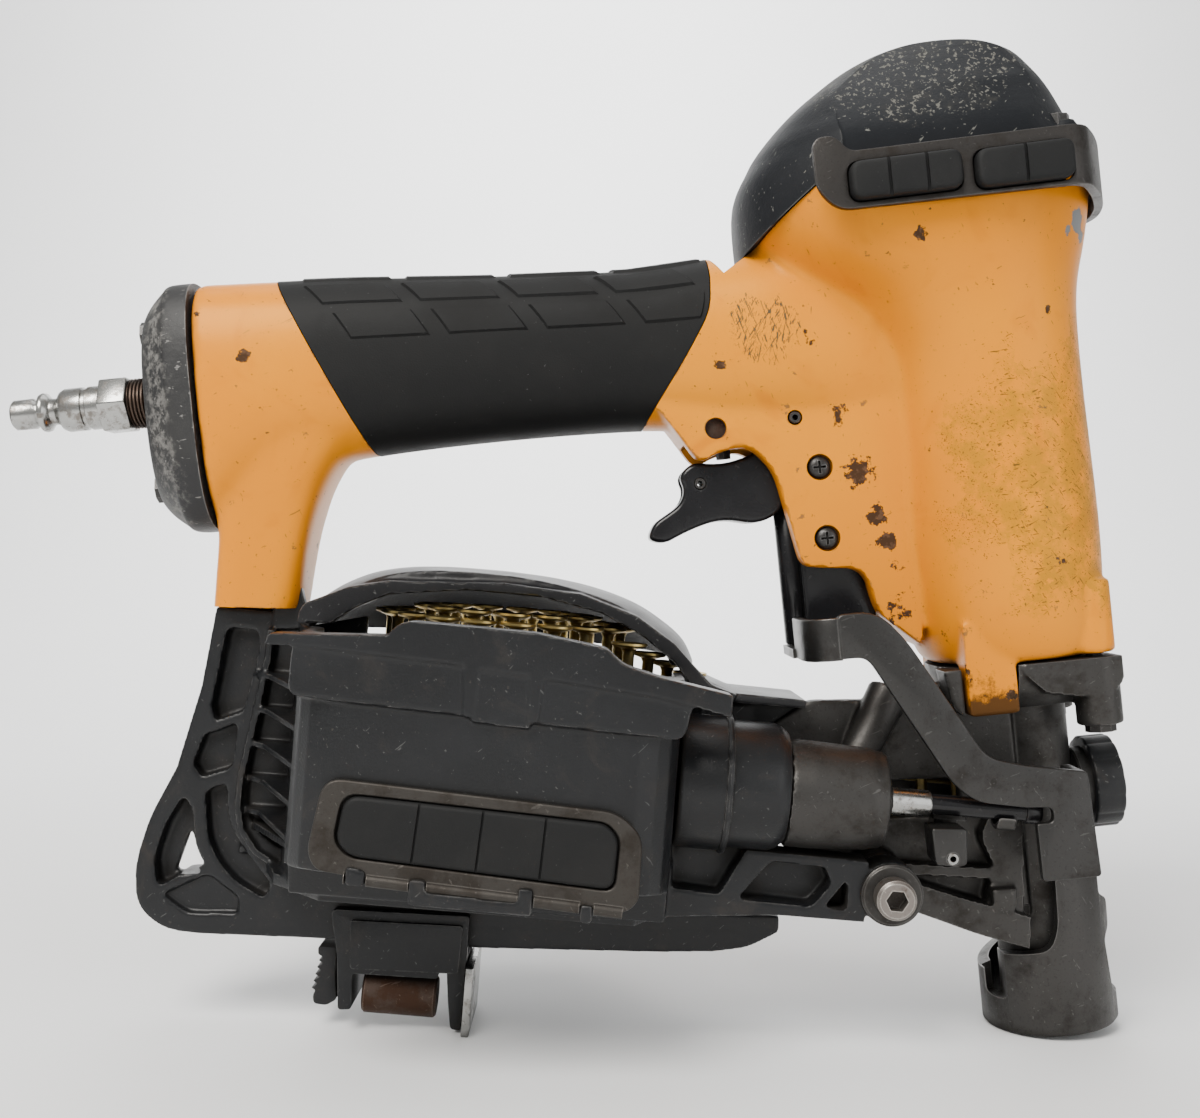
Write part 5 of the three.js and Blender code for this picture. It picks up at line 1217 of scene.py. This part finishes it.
LID_RIM = [(-53, 75.4, 1), (-51.8, 80.4, 2), (-39.9, 85.9), (-30, 88.2), (0, 90), (20, 88.8), (35, 84.2), (45, 78),
           (51, 72.2), (55.6, 68), (62.4, 66), (81, 65.6, 0.6), (81, 63.6), (61, 63.4), (50.4, 67), (45.6, 72.9),
           (35.8, 79.6), (25.4, 84.2), (10.1, 87), (-9.8, 87.2), (-29.7, 84.6), (-38, 80.4), (-44, 76)]
DOME = [(72, -2, 0, 54, 55, 2), (78, -3, 0, 51.5, 53, 2), (83, -3.6, 0, 45.5, 48.4, 2), (87, -4.4, 0, 38.6, 42.6, 2),
        (90, -6, 0, 30, 35, 2), (91.8, -7.5, 0, 20, 25, 2), (92.6, -9, 0, 9, 12, 2)]


def lid():
    shell = carved(loft("z", DOME, 128, 48), loft("z", [(z - 1.7, x, y, a - 1.5, b - 1.5, n) for z, x, y, a, b, n in DOME],
                                                  96, 32))
    shell = carved(shell, block(-70, 70, -70, -23, 60, 100))
    near_rim = prism(LID_RIM[:11] + LID_RIM[13:], -27, -22.4)
    roof = prism([(45, 76), (54, 69), (62.4, 66), (81, 65.6), (81, 63.4), (61, 63.4), (50.4, 66)], -22.6, 8)
    mirror = turned_by(canister(0, FLOOR, 76), 180, "Z")
    hollow = turned_by(canister(-WALL, 0, 90), 180, "Z")
    wall = carved(mirror, hollow, block(-70, 70, -70, 0.1, 0, 90))
    throat_far = block(51, 76, 6.2, 8.8, 18, 62)
    slot = block(44, 60, -1, 6.2, 18, 68)
    knuckles = [disc(3.4, x0, x1, "x", 32, (0, 34, 4.2)) for x0, x1 in [(-30, -10), (10, 30)]]
    ledges = [block(x0, x1, 34, 56, 2, 9) for x0, x1 in [(-30, -10), (10, 30)]]
    wall = carved(wall, slot)
    return fused([shell, near_rim, roof, wall, throat_far] + knuckles + ledges, 0.6, 3)


# ---------------------------------------------------------------- wear plates, nails and shingle guide

WEAR_PLATE = [(-36.6, 41.8, 5), (33.4, 39, 6), (39.4, 33.6, 3), (39.7, 18.4, 3), (36.6, 15.4, 4), (-29.2, 19, 3),
              (-37, 19.8, 4), (-39.2, 24, 4)]
WEAR_OPENING = [(-31.8, 38.4, 4), (31, 36.4, 4), (34.2, 32.8, 2), (33.8, 20.4, 3), (-29.4, 23.4, 3), (-33.2, 27, 3)]


def wear_plate():
    plate = bevelled(carved(prism(WEAR_PLATE, -FACE - 2.1, -FACE - 0.3), prism(WEAR_OPENING, -70, -50)), 0.6, 3)
    roll = rod(1.5, (-30, -FACE - 1.5, 18.6), (36, -FACE - 1.5, 15.6), 24)
    gaps = [block(x0, x1, -70, -50, 12, 21) for x0, x1 in [(-29.8, -24.6), (-14.6, -10.4), (11.2, 15), (25.8, 29.2)]]
    return joined(plate, carved(roll, *gaps))


def wear_pad():
    inner = [(x * 0.985 + 0.1, 29.5 + (z - 29.5) * 0.965, r) for x, z, r in WEAR_OPENING]
    pad = bevelled(prism(inner, -FACE - 2.6, -FACE - 0.3), 1.3, 4)
    for x, lean in [(-14, 0.7), (1.2, 0.6), (16.2, 0.4)]:
        carved(pad, ribbon([(x + lean, 40), (x - lean, 18)], 0.3, -70, -FACE - 1.9))
    return pad


def nail(length=38):
    return lathe([(0, 0), (2.6, 0.15), (4.3, 0.5), (4.75, 0.7), (4.75, 0.25 - 0.1), (4.4, -0.2), (2, -0.9),
                  (1.55, -1.9), (1.55, 2.4 - length), (0, -length)], "z", 20)


STRIP_PATH = [(135.2, 0, 57.7), (110, 0, 58.2), (84, 0, 59.3), (66, 0, 62.6), (50, -5, 69), (31, -29, 77.5)]
NAIL_PITCH = 9.6


def wire(points, radius=0.5):
    curve = bpy.data.curves.new("wire", "CURVE")
    curve.dimensions = "3D"
    curve.bevel_depth = radius
    curve.bevel_resolution = 2
    curve.use_fill_caps = True
    line = curve.splines.new("POLY")
    line.points.add(len(points) - 1)
    for knot, point in zip(line.points, points):
        knot.co = (*point, 1)
    made = bpy.data.objects.new("wire", curve)
    bpy.context.scene.collection.objects.link(made)
    mesh = bpy.data.meshes.new_from_object(made.evaluated_get(bpy.context.evaluated_depsgraph_get()))
    bpy.data.objects.remove(made)
    bpy.data.curves.remove(curve)
    result = bpy.data.objects.new("wire", mesh)
    bpy.context.scene.collection.objects.link(result)
    return result


def nail_strip():
    dense = [Vector(spline(STRIP_PATH, k / 400)) for k in range(401)]
    parts, tops = [], []
    walked = 0.0
    for before, now in zip(dense[:1] + dense, dense):
        walked += (now - before).length
        if walked >= NAIL_PITCH * len(tops):
            share = NAIL_PITCH * len(tops) / 125
            lean = math.radians(max(0.0, 1 - share * 1.6) * 10.2)
            one = turned_by(nail(), -math.degrees(lean), "Y")
            parts.append(moved(one, *now))
            tops.append((now, Vector((math.sin(lean), 0, -math.cos(lean)))))
    wires = [wire([top + down * depth for top, down in tops]) for depth in (14, 26)]
    return joined(*parts, *wires)


def nail_coil():
    """Two turns of collated nails standing round the post, heads up."""
    parts = []
    for radius, count, top, start in [(31.6, 20, 79.4, 9), (21.5, 13, 81.4, 0)]:
        ring = []
        for k in range(count):
            angle = 2 * math.pi * (k + start / 20) / count
            place = Vector((radius * math.cos(angle), radius * math.sin(angle), top))
            parts.append(moved(nail(), *place))
            ring.append(place)
        ring.append(ring[0])
        parts += [wire([p - Vector((0, 0, depth)) for p in ring]) for depth in (14, 26)]
    return joined(*parts)


def guide_carriage():
    saddle = prism([(-40.6, -1.8, 2), (-3.2, -0.8, 1), (-3.1, -13.4), (-10, -13.4), (-10.4, -18.2, 1), (-33.6, -18.6, 1),
                    (-33, -28.2, 1), (-36.6, -28.6, 1), (-38, -14, 1)], -11, 11)
    leg = prism([(-8.6, -12), (-3.3, -12), (-3.3, -31.6, 0.5), (-6, -31.4, 1), (-7.2, -24)], -11, 11)
    front_block = prism([(-35, -4, 1), (-4.6, -3.2, 1), (-5, -16, 1), (-34, -17, 1)], -12.4, -9)
    channel = block(-60, 10, -7.4, 7.4, -12.6, 10)
    solid = carved(carved(saddle, leg, front_block, operation="UNION"), channel)
    return bevelled(carved(solid, disc(5.9, -31, -10, "x", 48, (0, -6, -24))), 0.5, 2)


def guide_lever():
    teeth = []
    for k in range(5):
        z = -16.4 - 1.9 * k
        lean = 0.35 * k
        teeth += [(-42.6 - lean, z), (-43.8 - lean, z - 0.9), (-42.6 - lean, z - 1.5)]
    return prism([(-39, -13.4, 1), (-44.2, -13.4, 1), (-44, -15.6)] + teeth +
                 [(-44.6, -27, 1), (-44.2, -29.2, 1), (-40.7, -29.4, 1), (-38, -27.6, 1), (-38.8, -20.9)], -6, 6)


def build_magazine():
    piece("magazine_shape", magazine_body(), MAGAZINE, "tool_body", PLASTIC, ["magazine_body"])
    piece("lid_shape", lid(), MAGAZINE, "cover", LID, ["magazine_cover"])
    near_plate, near_pad = wear_plate(), wear_pad()
    for label, plate, pad, body, side in [
        ("far", mirrored(near_plate), mirrored(near_pad), "cover", "far"),
        ("near", near_plate, near_pad, "tool_body", "near"),
    ]:
        piece(label + "_wear", plate, MAGAZINE, body, WEAR, [side + "_wear_plate"])
        piece(label + "_wear_insert", pad, MAGAZINE, body, PAD, [side + "_wear_pad"])
    washer = lathe([(3.2, -36.8), (7.2, -36.8), (7.8, -36.3), (7.8, -35.1), (3.2, -35.1), (3.2, -36.8)], "y", 64,
                   (104.2, 0, 19.6))
    piece("bolt_washer", washer, MAGAZINE, "tool_body", CASTING, ["magazine_washer"])
    piece("bolt_head", socket_head(104.2, 19.6, -42.4, 5, 5.4), MAGAZINE, "tool_body", SOCKET,
          ["magazine_screw"])
    piece("strip_nails", nail_strip(), MAGAZINE, "tool_body", ZINC, ["nail_strip"])
    piece("coil_nails", nail_coil(), MAGAZINE, "coil", ZINC, ["nail_coil"])
    piece("carriage_shape", guide_carriage(), MAGAZINE, "guide", PLASTIC, ["guide_carriage"])
    barrel = lathe([(0, -30.6), (5, -30.6), (5.6, -30), (5.6, -11.2), (5, -10.6), (0, -10.6)], "x", 64, (0, -6, -24.4))
    piece("guide_roller", barrel, MAGAZINE, "guide", RUSTY, ["guide_barrel"])
    stop = bevelled(joined(block(-2.9, -0.8, -14, 14, -32.3, -13.9)), 0.3, 2)
    piece("guide_stop", stop, MAGAZINE, "guide", PLATED, ["guide_stop_plate"])
    piece("lock_lever", bevelled(guide_lever(), 0.35, 2), MAGAZINE, "guide_lever", PLASTIC,
          ["guide_lock_lever"])


# ---------------------------------------------------------------- stage, light and camera

def area_light(name, place, target, size, power, colour=(1, 1, 1)):
    light = bpy.data.lights.new(name, "AREA")
    light.shape = "DISK"
    light.size = size
    light.energy = power
    light.color = colour
    made = bpy.data.objects.new(name, light)
    bpy.context.scene.collection.objects.link(made)
    made.location = place
    made.rotation_euler = (Vector(target) - Vector(place)).to_track_quat("-Z", "Y").to_euler()


SWEEP_START = 0.45
SWEEP_RADIUS = 0.9


def build_stage():
    """A pale floor that curves up into a backdrop, under soft lights."""
    turn = [(SWEEP_START + SWEEP_RADIUS * math.sin(a), SWEEP_RADIUS * (1 - math.cos(a)))
            for a in (math.pi / 2 * k / 24 for k in range(25))]
    line = [(-4.0, 0.0)] + turn + [(turn[-1][0], 4.0)]
    verts = [(x, y, z) for y, z in line for x in (-4, 4)]
    floor = mesh_object("floor", verts, [[2 * k, 2 * k + 1, 2 * k + 3, 2 * k + 2] for k in range(len(line) - 1)])
    floor.data.shade_smooth()
    pale = Finish("pale floor", (0.86, 0.865, 0.87), 0.6)
    pale.lay(pale.step(pale.noise(6, 3), 0.4, 0.7), (0.85, 0.855, 0.86), 0.65)
    floor.data.materials.append(pale.done())

    world = bpy.data.worlds.new("studio")
    bpy.context.scene.world = world
    world.use_nodes = True
    sky = world.node_tree.nodes["Background"]
    sky.inputs["Color"].default_value = (0.97, 0.965, 0.94, 1)
    sky.inputs["Strength"].default_value = 0.62

    middle = (0.0, 0.0, 0.13)
    area_light("key", (-0.35, -0.65, 0.85), middle, 0.6, 17, (1.0, 0.97, 0.92))
    area_light("fill", (0.75, -0.7, 0.35), middle, 0.8, 3)
    area_light("sweep", (0.0, 0.6, 1.0), (0.0, 1.35, 0.6), 0.9, 23)
    area_light("top", (0.0, 0.25, 1.2), middle, 0.8, 4)


def build_camera():
    camera = bpy.data.cameras.new("camera")
    camera.sensor_width = 36
    camera.lens = 42.2
    camera.clip_start = 0.01
    made = bpy.data.objects.new("camera", camera)
    bpy.context.scene.collection.objects.link(made)
    foot = HEAD @ Vector((0, 0, 0))
    made.location = foot + Vector((-0.1247, -0.390, 0.1263))
    made.rotation_euler = (math.radians(90), 0, 0)
    bpy.context.scene.camera = made


build_camera()
build_stage()
dress_frame()
build_head()
build_trigger_group()
build_contact()
build_nose()
build_feed()
build_magazine()
